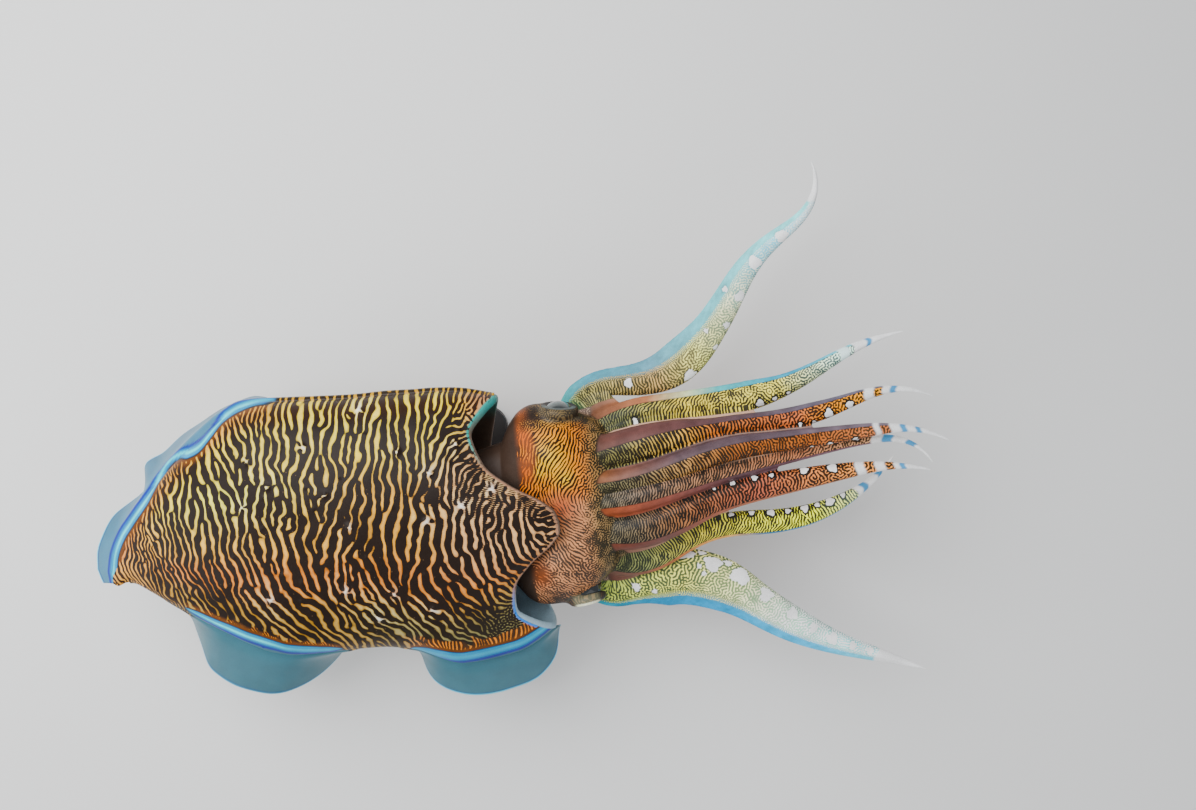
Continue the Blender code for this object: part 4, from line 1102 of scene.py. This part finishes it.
def paintHead(p):
    x, y, z = p.T
    side = y - curve(head["middle"], x)
    unrolled = y + np.sign(side) * np.maximum(0, 20 - z) * 0.8
    noise = lambda size, seed: softNoise(np.stack([x, unrolled], axis=1), size, seed)
    left, crown = between(8, 22, y), between(324, 338, x)
    frontEdge, below = between(334, 346, x), between(4, -14, z)
    centre = hill(x - 312, y - 10, 11)
    rear = between(302, 290, x + 3.5 * noise(9, 43))
    orange = np.maximum(rear * between(22, 36, y), 0.9 * hill(x - 294, y + 35, 6, 9))
    ground = coats(
        (88, 62, 46),
        ((50, 24, 8), left),
        ((50, 42, 26), crown),
        ((172, 90, 44), 0.85 * orange),
        ((150, 128, 118), 0.9 * below))
    tint = coats(
        (204, 164, 130),
        ((220, 154, 64), left),
        ((236, 186, 72), hill(x - 308, y - 44, 15, 17)),
        ((234, 192, 60), hill(x - 308, y - 44, 7)),
        ((234, 192, 60), hill(x - 317, y - 29, 6)),
        ((234, 192, 60), hill(x - 300, y - 36, 4)),
        ((202, 124, 76), centre),
        ((186, 158, 92), 0.85 * between(58, 68, y)),
        ((166, 142, 96), 0.8 * crown),
        ((168, 150, 116), 0.7 * frontEdge),
        ((212, 120, 44), 0.85 * orange),
        ((196, 182, 172), 0.9 * below))
    level = 0.05 + 0.2 * noise(12, 42) + 0.3 * noise(3.5, 44) - 0.3 * centre + 0.12 * crown
    level = level + 0.08 * frontEdge + 0.2 * between(0, -20, y)
    value = headLines(x, unrolled) - level - (0.75 - 0.7 * ease(noise(5, 45))) * orange
    for name in head["eyes"]:
        value, ground, tint = paintLids(p, name, value, ground, tint)
    # painted shade: the neck inside the mantle opening is dark brown and has no lines
    pocketShade = between(291, 285, x + 9 * between(30, 12, y) * between(-30, -12, y))
    return value - 1.8 * pocketShade, coats(ground, ((66, 50, 42), 0.95 * pocketShade)), tint


def ramp(stops, t):
    places = [stop[0] for stop in stops]
    tones = np.array([colour(*stop[1:]) for stop in stops])
    return np.stack([np.interp(t, places, tones[:, k]) for k in range(3)], axis=1)


# Markings of each arm. Tones are (place along, red, green, blue); bandFrom, lean, spacing, maze and
# lightShare run evenly from root to tip; spots are (place along, angle from the back toward the outer side,
# radius); bands are (start, end, kind) near the tip.
armMarks = {
    "left_1": {
        "dark": ((0, 40, 34, 26), (0.12, 32, 24, 20), (0.3, 44, 24, 14), (0.6, 62, 32, 16),
            (0.8, 96, 60, 40)),
        "light": ((0, 128, 112, 80), (0.12, 146, 128, 100), (0.26, 190, 150, 104), (0.4, 188, 112, 52),
            (0.6, 196, 118, 56), (0.8, 206, 142, 100)),
        "band": ((0, 168, 100, 46), (0.1, 150, 100, 84), (0.25, 112, 86, 92), (0.5, 116, 96, 106),
            (0.8, 150, 140, 150)),
        "bandFrom": (0.1, 0.35, 0.5, 0.7, 0.9), "lean": (0.9, 0.8, 0.5, 0.3, 0),
        "spacing": (1.9, 2.9, 2.8, 2.8, 2.8), "maze": (0.6, 0.1, 0.5, 0.8, 1),
        "lightShare": (0.3, 0.2, 0.1, -0.1, -0.2),
        "spots": ((0.66, -1.3, 2.2), (0.728, -1.0, 1.6), (0.61, -1.2, 1.2)),
        "bands": ((0.782, 0.798, "white"), (0.826, 1, "white"), (0.855, 0.872, "blue"),
            (0.898, 0.914, "blue")),
    },
    "right_1": {
        "dark": ((0, 40, 36, 30), (0.15, 36, 28, 28), (0.4, 58, 40, 36), (0.8, 96, 64, 50)),
        "light": ((0, 126, 112, 92), (0.12, 146, 120, 106), (0.3, 188, 146, 122), (0.6, 202, 150, 122),
            (0.8, 206, 176, 156)),
        "band": ((0, 186, 102, 56), (0.12, 180, 100, 70), (0.26, 160, 94, 82), (0.42, 120, 86, 92),
            (0.8, 170, 140, 150)),
        "bandFrom": (0.05, 0.25, 0.45, 0.65, 0.9), "lean": (0.9, 1.2, 1.2, 0.5, 0),
        "spacing": (1.9, 2.5, 2.5, 2.6, 2.6), "maze": (0.6, 0.1, 0.2, 0.8, 1),
        "lightShare": (0.3, 0.1, 0.1, -0.1, -0.2),
        "spots": ((0.7, -0.9, 1.4), (0.76, -0.8, 1.6)),
        "bands": ((0.8, 1, "white"), (0.83, 0.86, "blue"), (0.9, 0.93, "blue")),
    },
    "left_2": {
        "dark": ((0, 38, 32, 22), (0.14, 32, 24, 16), (0.35, 36, 18, 10), (0.6, 50, 24, 14),
            (0.8, 60, 34, 12)),
        "light": ((0, 132, 116, 74), (0.12, 156, 138, 88), (0.25, 210, 180, 120), (0.36, 206, 132, 66),
            (0.6, 206, 130, 84), (0.7, 220, 164, 64), (0.85, 230, 176, 84)),
        "band": ((0, 104, 56, 38), (0.1, 124, 70, 62), (0.25, 128, 78, 74), (0.45, 112, 86, 92),
            (0.8, 140, 140, 156)),
        "bandFrom": (0.12, 0.35, 0.6, 0.85, 1.0), "lean": (0.9, 0.7, 0.2, 0.3, 0),
        "spacing": (2.0, 3.4, 3.0, 2.9, 2.9), "maze": (0.6, 0.05, 0.5, 0.8, 1),
        "lightShare": (0.35, 0.3, 0.1, 0, 0),
        "spots": ((0.604, -0.8, 1.3), (0.642, -1.0, 1.3), (0.686, -0.55, 3.0), (0.748, -0.5, 2.6)),
        "bands": ((0.796, 0.824, "white"), (0.848, 1, "white"), (0.87, 0.888, "blue")),
    },
    "right_2": {
        "dark": ((0, 40, 36, 32), (0.14, 34, 28, 28), (0.3, 30, 18, 14), (0.6, 44, 22, 18),
            (0.8, 60, 38, 26)),
        "light": ((0, 130, 114, 92), (0.12, 148, 126, 104), (0.25, 180, 124, 84), (0.5, 196, 118, 90),
            (0.8, 222, 172, 122)),
        "band": ((0, 136, 62, 40), (0.1, 142, 72, 56), (0.2, 136, 88, 80), (0.36, 186, 124, 96),
            (0.7, 200, 156, 130), (1, 190, 190, 190)),
        "bandFrom": (0.25, 0.55, 0.85, 1.0, 1.1), "lean": (1.0, 0.7, 0.3, 0.3, 0),
        "spacing": (2.0, 2.8, 3.2, 3.1, 3.0), "maze": (0.6, 0.1, 0.4, 0.8, 1),
        "lightShare": (0.3, 0.25, 0.15, 0, 0),
        "spots": ((0.372, -1.25, 1.2), (0.425, -1.25, 1.8), (0.488, -1.25, 2.2), (0.536, -1.2, 1.8),
            (0.63, -1.15, 3.0), (0.71, -0.97, 3.4), (0.786, 0.25, 1.8)),
        "bands": ((0.776, 0.802, "white"), (0.832, 0.862, "white"), (0.888, 1, "white"),
            (0.905, 0.922, "blue")),
    },
    "left_3": {
        "dark": ((0, 44, 42, 30), (0.12, 40, 40, 28), (0.35, 56, 42, 26), (0.6, 70, 62, 44),
            (0.8, 110, 134, 142)),
        "light": ((0, 140, 122, 76), (0.12, 158, 150, 110), (0.3, 206, 186, 114), (0.6, 212, 200, 144),
            (0.8, 206, 222, 216), (1, 232, 240, 242)),
        "band": ((0, 118, 74, 52), (0.1, 166, 108, 76), (0.2, 196, 144, 108), (0.32, 200, 200, 180),
            (0.42, 130, 194, 196), (0.65, 96, 178, 196), (1, 180, 222, 234)),
        "bandFrom": (0.35, 0.65, 0.85, 0.95, 0.9), "lean": (-1.0, -0.8, -0.4, 0.2, 0),
        "spacing": (2.0, 2.9, 2.8, 2.5, 2.3), "maze": (0.4, 0.2, 0.7, 1, 1),
        "lightShare": (0.25, 0.1, 0, -0.1, -0.2),
        "spots": ((0.534, -0.82, 2.8), (0.578, -0.88, 1.6), (0.16, -0.7, 1.6), (0.62, -0.9, 1.3)),
        "bands": ((0.845, 1, "white"), (0.8, 0.83, "pale"), (0.885, 0.9, "blue")),
    },
    "right_3": {
        "dark": ((0, 44, 44, 34), (0.15, 50, 52, 44), (0.4, 46, 42, 28), (0.7, 46, 42, 22),
            (0.9, 120, 140, 140)),
        "light": ((0, 138, 128, 94), (0.15, 164, 160, 118), (0.35, 206, 190, 118), (0.7, 224, 210, 132),
            (0.9, 226, 226, 200)),
        "band": ((0, 140, 84, 70), (0.1, 150, 98, 80), (0.25, 204, 148, 104), (0.42, 222, 188, 136),
            (0.55, 64, 160, 190), (0.9, 130, 194, 214)),
        "bandFrom": (0.4, 0.75, 0.95, 1.1, 1.0), "lean": (1.0, 1.1, 0.6, 0.1, 0),
        "spacing": (2.0, 2.8, 2.7, 2.9, 2.7), "maze": (0.4, 0.1, 0.3, 0.3, 1),
        "lightShare": (0.3, 0.15, 0, -0.1, -0.3),
        "spots": ((0.44, -1.2, 2.0), (0.5, -1.2, 2.2), (0.56, -1.15, 3.0), (0.615, -1.1, 2.2),
            (0.67, -1.1, 3.0), (0.712, -1.1, 2.0), (0.754, -1.0, 3.4), (0.8, -1.1, 2.0), (0.4, -1.1, 1.6),
            (0.35, -1.1, 1.4)),
        "bands": ((0.84, 1, "white"), (0.86, 0.88, "blue"), (0.92, 0.94, "blue")),
    },
    "left_4": {
        "dark": ((0, 116, 164, 136), (0.08, 62, 62, 34), (0.3, 96, 84, 52), (0.42, 146, 138, 98),
            (0.55, 174, 186, 166), (0.75, 168, 208, 216), (1, 215, 235, 240)),
        "light": ((0, 156, 204, 176), (0.08, 190, 182, 134), (0.3, 204, 182, 140), (0.42, 224, 214, 172),
            (0.55, 226, 226, 198), (0.75, 206, 232, 236), (1, 242, 249, 250)),
        "band": ((0, 110, 180, 172), (0.12, 110, 172, 184), (0.3, 128, 170, 180), (0.5, 150, 196, 200),
            (1, 180, 224, 234)),
        "bandFrom": (0.3, 0.45, 0.5, 0.45, 0.4), "lean": (0.2, 0.1, 0, 0.2, 0),
        "spacing": (2.4, 2.9, 2.6, 2.4, 2.2), "maze": (0.5, 0.3, 1, 1, 1),
        "lightShare": (0.1, 0.1, -0.2, -0.2, -0.4),
        "spots": ((0.224, -0.17, 2.8), (0.37, -1.0, 4.2), (0.598, 0.75, 2.4), (0.6, -0.75, 3.6),
            (0.696, -0.3, 4.4), (0.79, -0.27, 4.2), (0.52, -0.9, 2.4), (0.48, 0.1, 1.4), (0.46, -1.1, 1.8)),
        "bands": ((0.9, 1, "white"),),
    },
    "right_4": {
        "dark": ((0, 120, 140, 84), (0.1, 90, 104, 64), (0.3, 108, 122, 78), (0.45, 162, 174, 138),
            (0.6, 190, 206, 194), (0.8, 180, 212, 218), (1, 200, 226, 234)),
        "light": ((0, 170, 184, 128), (0.1, 206, 206, 148), (0.3, 222, 222, 164), (0.45, 228, 232, 194),
            (0.6, 228, 236, 222), (0.8, 222, 236, 236), (1, 242, 248, 249)),
        "band": ((0, 150, 190, 150), (0.08, 80, 176, 190), (0.2, 64, 170, 196), (0.45, 84, 180, 204),
            (0.7, 130, 198, 214), (1, 180, 222, 240)),
        "bandFrom": (0.75, 0.8, 0.7, 0.5, 0.3), "lean": (0.3, 0.1, 0.1, 0.2, 0),
        "spacing": (2.6, 3.2, 2.8, 2.5, 2.2), "maze": (0.6, 0.6, 1, 1, 1),
        "lightShare": (0.0, 0.05, -0.15, -0.3, -0.4),
        "spots": ((0.3, -1.1, 4.8), (0.332, -1.3, 2.6), (0.36, -0.85, 5.8), (0.392, -1.15, 2.6),
            (0.43, -0.85, 6.6), (0.512, -0.82, 5.2), (0.6, -0.7, 4.4), (0.67, -0.6, 3.2),
            (0.73, -0.45, 4.2), (0.79, -0.5, 2.6), (0.84, -0.45, 2.6), (0.17, -0.2, 2.6), (0.21, 0.35, 2.0),
            (0.33, -0.6, 1.4), (0.345, -0.35, 1.3)),
        "bands": ((0.86, 1, "white"),),
    },
}
# Shared by all arms: mm across per radian of breadth, how much lighter and warmer the tapering arms are,
# the spacing of the fine pale specks, the size of the spots, and the tones of spots and of the bands near
# the tips.
armLook = {
    "unroll": 0.45, "lightGain": (1.20, 1.32, 1.10), "darkGain": (1.15, 1.30, 1.0), "specks": 1.32,
    "spots": 0.88,
    "spotTone": (244, 244, 232), "white": (240, 244, 244), "blue": (120, 178, 202), "pale": (206, 222, 226),
}


def armRecipe(arm, marks):
    def recipe(s, w):
        t = np.clip(s / arm["length"], 0, 1)
        flow = spread(marks["lean"], t) * np.clip(0.5 + w / 12, -0.6, 1.0)
        maze = np.clip(0.25 + spread(marks["maze"], t), 0, 1)
        return np.clip(0.70 * spread(marks["spacing"], t), 1.35, 3.0), flow, maze, None

    return recipe


def paintArm(k, name, s, a, t, breadth):  # a is the angle from the arm's back, + toward its outer side
    arm, marks, isFlat = arms[name], armMarks[name], name.endswith("4")
    w = a * breadth * armLook["unroll"]
    noise = lambda size, seed: softNoise(np.stack([s, w], axis=1), size, seed + k)
    grown = grownMap((-2, -26), (arm["length"] + 2, 26), 0.42, armRecipe(arm, marks), 200 + k, 0.35)
    value = grown(s, w) - spread(marks["lightShare"], t) - 0.12 * noise(18, 60) - 0.3 * noise(4, 70) - 0.12
    tint = ramp(marks["light"], t) * (0.76 + 0.4 * between(0.1, 1.1, value)[:, None])
    ground = ramp(marks["dark"], t)
    if not isFlat:
        tint, ground = tint * armLook["lightGain"], ground * armLook["darkGain"]
    value = value - (0.1 if isFlat else 0.35) * between(-0.55, -0.95, a) * between(0.25, 0.4, t)
    ground = ground * (1 - 0.45 * between(-0.7, -1.3, a))[:, None]
    start, band = spread(marks["bandFrom"], t), ramp(marks["band"], t)
    if isFlat:  # fine specks fade into the blue margin
        specked = tileLines(netTile, s, w, armLook["specks"]) - 0.1
        value = mixed(value, specked, between(start - 0.55, start - 0.25, a))
        ground = coats(ground, (band, 0.8 * between(start - 0.35, start, a)))
        outer = between(start - 0.02, start + 0.22, a)
    else:
        outer = between(start - 0.04, start + 0.04, a)
        ground = ground * (1 - 0.5 * between(start - 0.16, start - 0.05, a) * (1 - outer))[:, None]
    ripple = 1 + 0.10 * noise(8, 80) + 0.06 * noise(2.5, 90)
    ground = coats(ground, (band * ripple[:, None], outer))
    value = value - 4 * outer
    for place, turn, size in marks["spots"]:
        wide = np.interp(place, np.linspace(0, 1, 9), arm["breadth"])
        ds, dw = s - place * arm["length"], w - turn * wide * armLook["unroll"]
        way = np.arctan2(dw, ds)
        bumps = 0.14 * np.cos(3 * way + 40 * place) + 0.08 * np.cos(5 * way + 90 * place)
        size = armLook["spots"] * size * (1 + bumps)
        far = np.hypot(ds, dw * 0.85)
        ring = between(size + 1.6, size + 0.4, far) * (0.35 if isFlat else 0.85)
        ground = ground * (1 - 0.6 * ring)[:, None]
        value = mixed(mixed(value, -1, ring), 1.2, between(size + 0.4, size - 0.4, far))
        tint = coats(tint, (armLook["spotTone"], between(size + 0.8, size + 0.4, far)))
    wave = t + 0.004 * np.sin(a * 2 + k)
    for first, last, kind in marks["bands"]:
        end = between(last + 0.004, last - 0.004, wave) if last < 1 else 1
        here = between(first - 0.004, first + 0.004, wave) * end
        ground, tint = (coats(base, (armLook[kind], here)) for base in (ground, tint))
    oral = 0.9 * between(1.75, 2.3, np.abs(a))
    return value, coats(ground, ((206, 186, 172), oral)), coats(tint, ((222, 206, 196), oral))


def paintBody():
    n = len(bodyMap["t"])
    arm = np.full(n, -1.0), np.zeros((n, 3)), np.zeros((n, 3))
    for k, name in enumerate(arms):
        mine = bodyMap["owner"] == k
        parts = paintArm(k, name, *(bodyMap[part][mine] for part in ("along", "angle", "t", "breadth")))
        for whole, part in zip(arm, parts):
            whole[mine] = part
    line, ground, tint = paintHead(bodyMap["points"])
    weight = bodyMap["onArm"]
    movePoints(body.data, toFrame(bodyMap["points"]))
    paint(body, coats(ground, (arm[1], weight)), mixed(line, arm[0], weight), coats(tint, (arm[2], weight)))
    dress(body, paintedSkin("bodyPaint", 0.46, 0.02, 0.3))


def joinSkin(*parts):  # the flesh is one piece, so no seam shows
    with bpy.context.temp_override(active_object=parts[0], selected_editable_objects=list(parts)):
        bpy.ops.object.join()
    parts[0].name = parts[0].data.name = "cuttlefish_skin"
    return parts[0]


paintBody()
fleshNodes = ["mantle", "neck", "head", "funnel", "fin_left", "fin_right"]
fleshNodes += [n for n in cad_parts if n.startswith("arm_")]
skinPiece = joinSkin(mantlePiece, body, leftFin, rightFin)
addPiece(skinPiece, "mantle_skin", *fleshNodes)
print("skin painted and joined:", len(skinPiece.data.vertices), "points")


def buildEye(name):
    axis, up, forward = eyeAxes(sideOf[name])
    rows, columns = 110, 128
    polar, turn = np.linspace(0, math.pi, rows + 2)[1:-1][:, None], fullTurn(columns)[None, :]
    globe = ringAt(np.sin(polar) * np.cos(turn), np.sin(polar) * np.sin(turn), np.cos(polar))
    local, faces = closedTube(globe, ((0, 0, 1), (0, 0, -1)))
    points = np.array(head["eyes"][name]) + head["eyeRadius"] * (local @ np.array([forward, up, axis]))
    thing = facesOutward(meshFrom("eyeball_" + name, points, faces))
    u, v, _ = local.T
    far, tones = np.hypot(u, v), eyeTones[name]
    wave = 0.10 * np.cos(u * 9.5) - 0.16  # the W shaped pupil
    slit = between(0.055, 0.02, np.abs(v - wave) - 0.045 * between(0.5, 0.2, np.abs(u)))
    paint(thing, coats(
        tones["ball"],
        (tones["streaks"], 0.5 * ease(0.5 + 0.5 * np.cos(np.arctan2(v, u) * 46) * 0.6)),
        ((70, 84, 84), between(0.55, 0.9, far)),
        ((8, 9, 12), slit * between(0.60, 0.52, np.abs(u))),
        ((30, 34, 38), between(0.9, 0.98, far)),
        (tones["shade"], 0.85 * between(0.15, 0.5, v))))
    return thing


eyePaint = paintedSkin("eyePaint", 0.12, 1.0, 0.03, patch=0.04, grain=0.03)
setSurface(eyePaint, {"Coat Roughness": 0.03})
for eyeName in head["eyes"]:
    addPiece(dress(buildEye(eyeName), eyePaint), "eye_surface", "eye_" + eyeName)
print("eyes built")

# Suckers: small stalked cups in four rows down the inner face of each arm. The profile is radius and height
# from the stalk up over the rim, and rimShare says how much of the rim's pale colour each of its points
# has.
suckers = {
    "spacing": 0.961, "first": 0.06, "last": 0.985, "rows": (-0.62, -0.21, 0.21, 0.62),
    "spreadOut": 0.72, "share": 0.135, "smallest": 0.35, "largest": 1.9, "sides": 12,
    "profile": ((0.34, -0.55), (0.36, 0.25), (0.46, 0.42), (0.50, 0.62), (0.47, 0.76), (0.36, 0.78),
                (0.26, 0.62), (0.12, 0.44)),
    "rimShare": (0, 0, 0.3, 1, 1, 0.6, 0.2, 0),
}


def suckerPlaces(arm, random):  # share of the length, place across and size
    places = []
    s, step = suckers["first"] * arm["length"], 0
    while s < suckers["last"] * arm["length"]:
        t = s / arm["length"]
        size = min(max(suckers["share"] * float(spread(arm["breadth"], t)), suckers["smallest"]),
                   suckers["largest"])
        for row in suckers["rows"][step % 2::2]:
            places.append((t, row, size * random.uniform(0.9, 1.1)))
        s += size * suckers["spacing"]
        step += 1
    return np.array(places).T


def buildSuckers():
    turn = fullTurn(suckers["sides"])
    rings = np.array([ringAt(r * np.cos(turn), r * np.sin(turn), z) for r, z in suckers["profile"]])
    cup, cupFaces = closedTube(rings, ((0, 0, suckers["profile"][0][1]), (0, 0, 0.42)))
    cupRim = np.concatenate([np.repeat(suckers["rimShare"], suckers["sides"]), [0, 0]])
    allPoints, count = [], 0
    random = np.random.default_rng(71)
    for arm in arms.values():
        t, row, size = suckerPlaces(arm, random)
        centre, forward, sideways, upward = armFrames(arm, t)
        half, deep = (measure / 2 for measure in armSize(arm, t))
        across = row * suckers["spreadOut"]
        down = np.sqrt(1 - across**2)
        depth = down * deep * keelShare(arm, across)
        foot = centre + sideways * (across * half)[:, None] - upward * depth[:, None]
        out = sideways * (across / half)[:, None] - upward * (down / deep)[:, None]
        out /= np.linalg.norm(out, axis=1)[:, None]
        acrossOut = np.cross(out, forward)
        axes = np.stack([acrossOut, np.cross(acrossOut, out), out], axis=1) * size[:, None, None]
        allPoints.append((foot[:, None, :] + np.einsum("pk,skd->spd", cup, axes)).reshape(-1, 3))
        count += len(t)
    faces = [[corner + i * len(cup) for corner in face] for i in range(count) for face in cupFaces]
    thing = meshFrom("arm_suckers", np.vstack(allPoints), faces)
    paint(thing, coats((186, 150, 136), ((240, 232, 222), np.tile(cupRim, count))))
    print("suckers:", count)
    return thing


mouth = {
    "centre": (10.0, -3.0), "lipSteps": 34, "frills": 18, "frillDepth": 0.045, "steps": 96,
    "profile": ((344.0, 11.0), (348.3, 11.5), (350.6, 12.2), (353.2, 11.2), (355, 8.8), (354.6, 6.6),
                (353, 5.6)),
    "beakStart": 352.0, "beakEnd": 358.6, "beakRadius": 5.2, "beakHook": 1.6,
}


def mouthRing(x, across, height, drop=0.0):
    turn = fullTurn(mouth["steps"])
    y, z = mouth["centre"]
    return ringAt(x, y + np.cos(turn) * across, z - drop + np.sin(turn) * height)


def buildLips():
    at = np.linspace(0, 1, mouth["lipSteps"])
    x, radius = (spread([knot[k] for knot in mouth["profile"]], at) for k in (0, 1))
    depth = mouth["frillDepth"] * between(0.3, 0.75, at)
    frill = 1 + depth[:, None] * np.cos(mouth["frills"] * fullTurn(mouth["steps"]))
    rings = [mouthRing(x[i], radius[i] * frill[i], radius[i] * frill[i]) for i in range(len(at))]
    lips = facesOutward(meshFrom("mouth_lips", *closedTube(rings)))
    shade = np.concatenate([np.repeat(at, mouth["steps"]), [0, 1]])
    paint(lips, coats((150, 112, 104), ((206, 160, 146), between(0.3, 0.7, shade)),
                      ((90, 52, 48), between(0.85, 1.0, shade))))
    return lips


def buildBeak():
    rings = []
    for u in np.linspace(0, 1, 24):
        radius = mouth["beakRadius"] * (1 - u) ** 0.6 + 0.15
        x = mouth["beakStart"] + (mouth["beakEnd"] - mouth["beakStart"]) * u
        rings.append(mouthRing(x, radius * 0.8, radius, mouth["beakHook"] * u**2))
    beak = facesOutward(meshFrom("mouth_beak", *closedTube(rings)))
    paint(beak, np.tile(colour(40, 26, 20), (len(beak.data.vertices), 1)))
    return beak


# The display stand: a matt black base and two steel rods with round pads.
stand = {
    "rodSides": 72, "foot": 8.3 - 100, "footHeight": 3.0, "footRadius": 10.0, "rodRadius": 4.0,
    "padRadius": 13.0, "places": {"stand_rod_rear": (140.0, 7.0), "stand_rod_front": (238.0, -1.0)},
}


def bellyLevel(x, y):
    station = x.copy()
    for _ in range(30):
        across = (y - curve(mantle["middle"], station)) / curve(mantle["halfWidth"], station)
        station = x - rimShift(station, across, y, "rimBottom")
    cosine = np.clip(np.abs(across) ** (1 / mantle["roundAcross"]), 0, 1)
    height = curve(mantle["bottom"], station) - mantle["edge"]
    return -(mantle["edge"] + (1 - cosine**2) ** (mantle["roundUp"] / 2) * height)


def buildRod(name, x, y):
    turn = fullTurn(stand["rodSides"])
    belly = -float(curve(mantle["bottom"], x))
    foot, top = stand["foot"], stand["foot"] + stand["footHeight"]
    wide, thin, pad = stand["footRadius"], stand["rodRadius"], stand["padRadius"]
    profile = [(foot, wide - 0.6), (foot + 0.4, wide), (top - 0.4, wide), (top, wide - 0.4),
               (top, thin + 0.6), (top + 0.6, thin), (belly - 8, thin), (belly - 6.4, thin + 1.4),
               (belly - 3.4, pad - 0.6), (belly - 2.9, pad)]
    rings = [ringAt(x + np.cos(turn) * r, y + np.sin(turn) * r, z) for z, r in profile]
    for share in (1.0, 0.97, 0.6, 0.3, 0.05):  # the pad follows the belly, just below the skin
        px, py = x + np.cos(turn) * pad * share, y + np.sin(turn) * pad * share
        rings.append(ringAt(px, py, bellyLevel(px, py) - (0.7 if share == 1.0 else 0.3)))
    return facesOutward(meshFrom(name + "_turned", *closedTube(rings)))


def steelFinish(tree):
    place = addNode(tree, "TexCoord", {})["Object"]
    stretched = addNode(tree, "Mapping", {"Scale": (1, 1, 60), "Vector": place})["Vector"]
    brushed = noiseNode(tree, 60, 3, 0.6, stretched)
    tint = mixNode(tree, noiseNode(tree, 240, 3), (0.52, 0.53, 0.55, 1), (0.66, 0.66, 0.68, 1))
    return {"Base Color": tint, "Metallic": 1.0, "Roughness": rangeNode(tree, brushed, 0.3, 0.7, 0.24, 0.38),
            "Normal": bumpNode(tree, brushed, 0.15, 0.0002)}


def baseFinish(tree):
    tint = mixNode(tree, noiseNode(tree, 90, 4), (0.012, 0.012, 0.013, 1), (0.022, 0.022, 0.024, 1))
    return {"Base Color": tint, "Roughness": rangeNode(tree, noiseNode(tree, 40, 3), 0.3, 0.7, 0.42, 0.56),
            "Normal": bumpNode(tree, noiseNode(tree, 2600, 1), 0.25, 0.0002)}


suckerPaint = paintedSkin("suckerPaint", 0.32, 0.3, 0.1, patch=0.08, grain=0.05)
addPiece(dress(buildSuckers(), suckerPaint), "arm_skin")
addPiece(dress(buildLips(), paintedSkin("lipPaint", 0.3, 0.4, 0.2)), "inner_skin", "mouth")
addPiece(dress(buildBeak(), paintedSkin("beakPaint", 0.25, 0.5, 0.15, patch=0.2)), "beak_horn")
steel = makeMaterial("brushedSteel", steelFinish)
for rodName, (rodX, rodY) in stand["places"].items():
    addPiece(dress(buildRod(rodName, rodX, rodY), steel), "stand_steel", rodName)
dress(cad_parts["stand_base"], makeMaterial("blackPlastic", baseFinish))
print("suckers, mouth and stand finished")

# Floor, lights and camera. Each light has its power, size and place, and looks at the animal.
studio = {
    "floorSize": 6.0, "floor": ((0.78, 0.78, 0.77, 1), (0.82, 0.82, 0.81, 1)), "lookAt": (260.0, 20.0, 0.0),
    "cameraAt": (355.8, 192.4, 769.4), "roll": 6.0, "tilt": 9.0, "lens": 35.0,
    "lights": {"key": (17.0, 0.9, (-80, 560, 820)), "fill": (5.0, 1.4, (700, -700, 600)),
               "rim": (5.0, 0.8, (-600, -100, 420))},
    "air": (0.9, 0.94, 1.0, 1), "airStrength": 0.45,
}


def inFrame(place):
    return Vector(toFrame([place])[0])


def buildFloor():
    mesh = bpy.data.meshes.new("studio_floor")
    size = studio["floorSize"]
    mesh.from_pydata([(-size, -size, 0), (size, -size, 0), (size, size, 0), (-size, size, 0)], [],
                     [(0, 1, 2, 3)])
    floor = linked("studio_floor", mesh)
    dress(floor, makeMaterial("paleFloor", lambda tree: {
        "Base Color": mixNode(tree, noiseNode(tree, 3, 2), *studio["floor"]), "Roughness": 0.8}))


def addLight(name, power, size, place):
    light = bpy.data.lights.new(name, "AREA")
    light.energy = power
    light.size = size
    thing = linked(name, light)
    thing.location = inFrame(place)
    thing.rotation_euler = (inFrame(studio["lookAt"]) - thing.location).to_track_quat("-Z", "Y").to_euler()


def addCamera():
    data = bpy.data.cameras.new("photo_camera")
    data.lens = studio["lens"]
    data.sensor_width = 36.0
    data.clip_start = 0.01
    thing = linked("photo_camera", data)
    roll, tilt = math.radians(studio["roll"]), math.radians(studio["tilt"])
    right = Vector((math.cos(roll), -math.sin(roll), 0))
    ahead = Vector((math.sin(roll), math.cos(roll), 0))
    down = Vector((0, 0, -1)) * math.cos(tilt) - ahead * math.sin(tilt)
    up = ahead * math.cos(tilt) + Vector((0, 0, -1)) * math.sin(tilt)
    turn = Matrix((right, up, -down)).transposed()
    thing.matrix_world = Matrix.Translation(inFrame(studio["cameraAt"])) @ turn.to_4x4()
    bpy.context.scene.camera = thing


buildFloor()
for lightName, light in studio["lights"].items():
    addLight("studio_" + lightName, *light)
world = bpy.data.worlds.new("studio_world")
world.use_nodes = True
fill(world.node_tree, world.node_tree.nodes["Background"],
     {"Color": studio["air"], "Strength": studio["airStrength"]})
bpy.context.scene.world = world
addCamera()
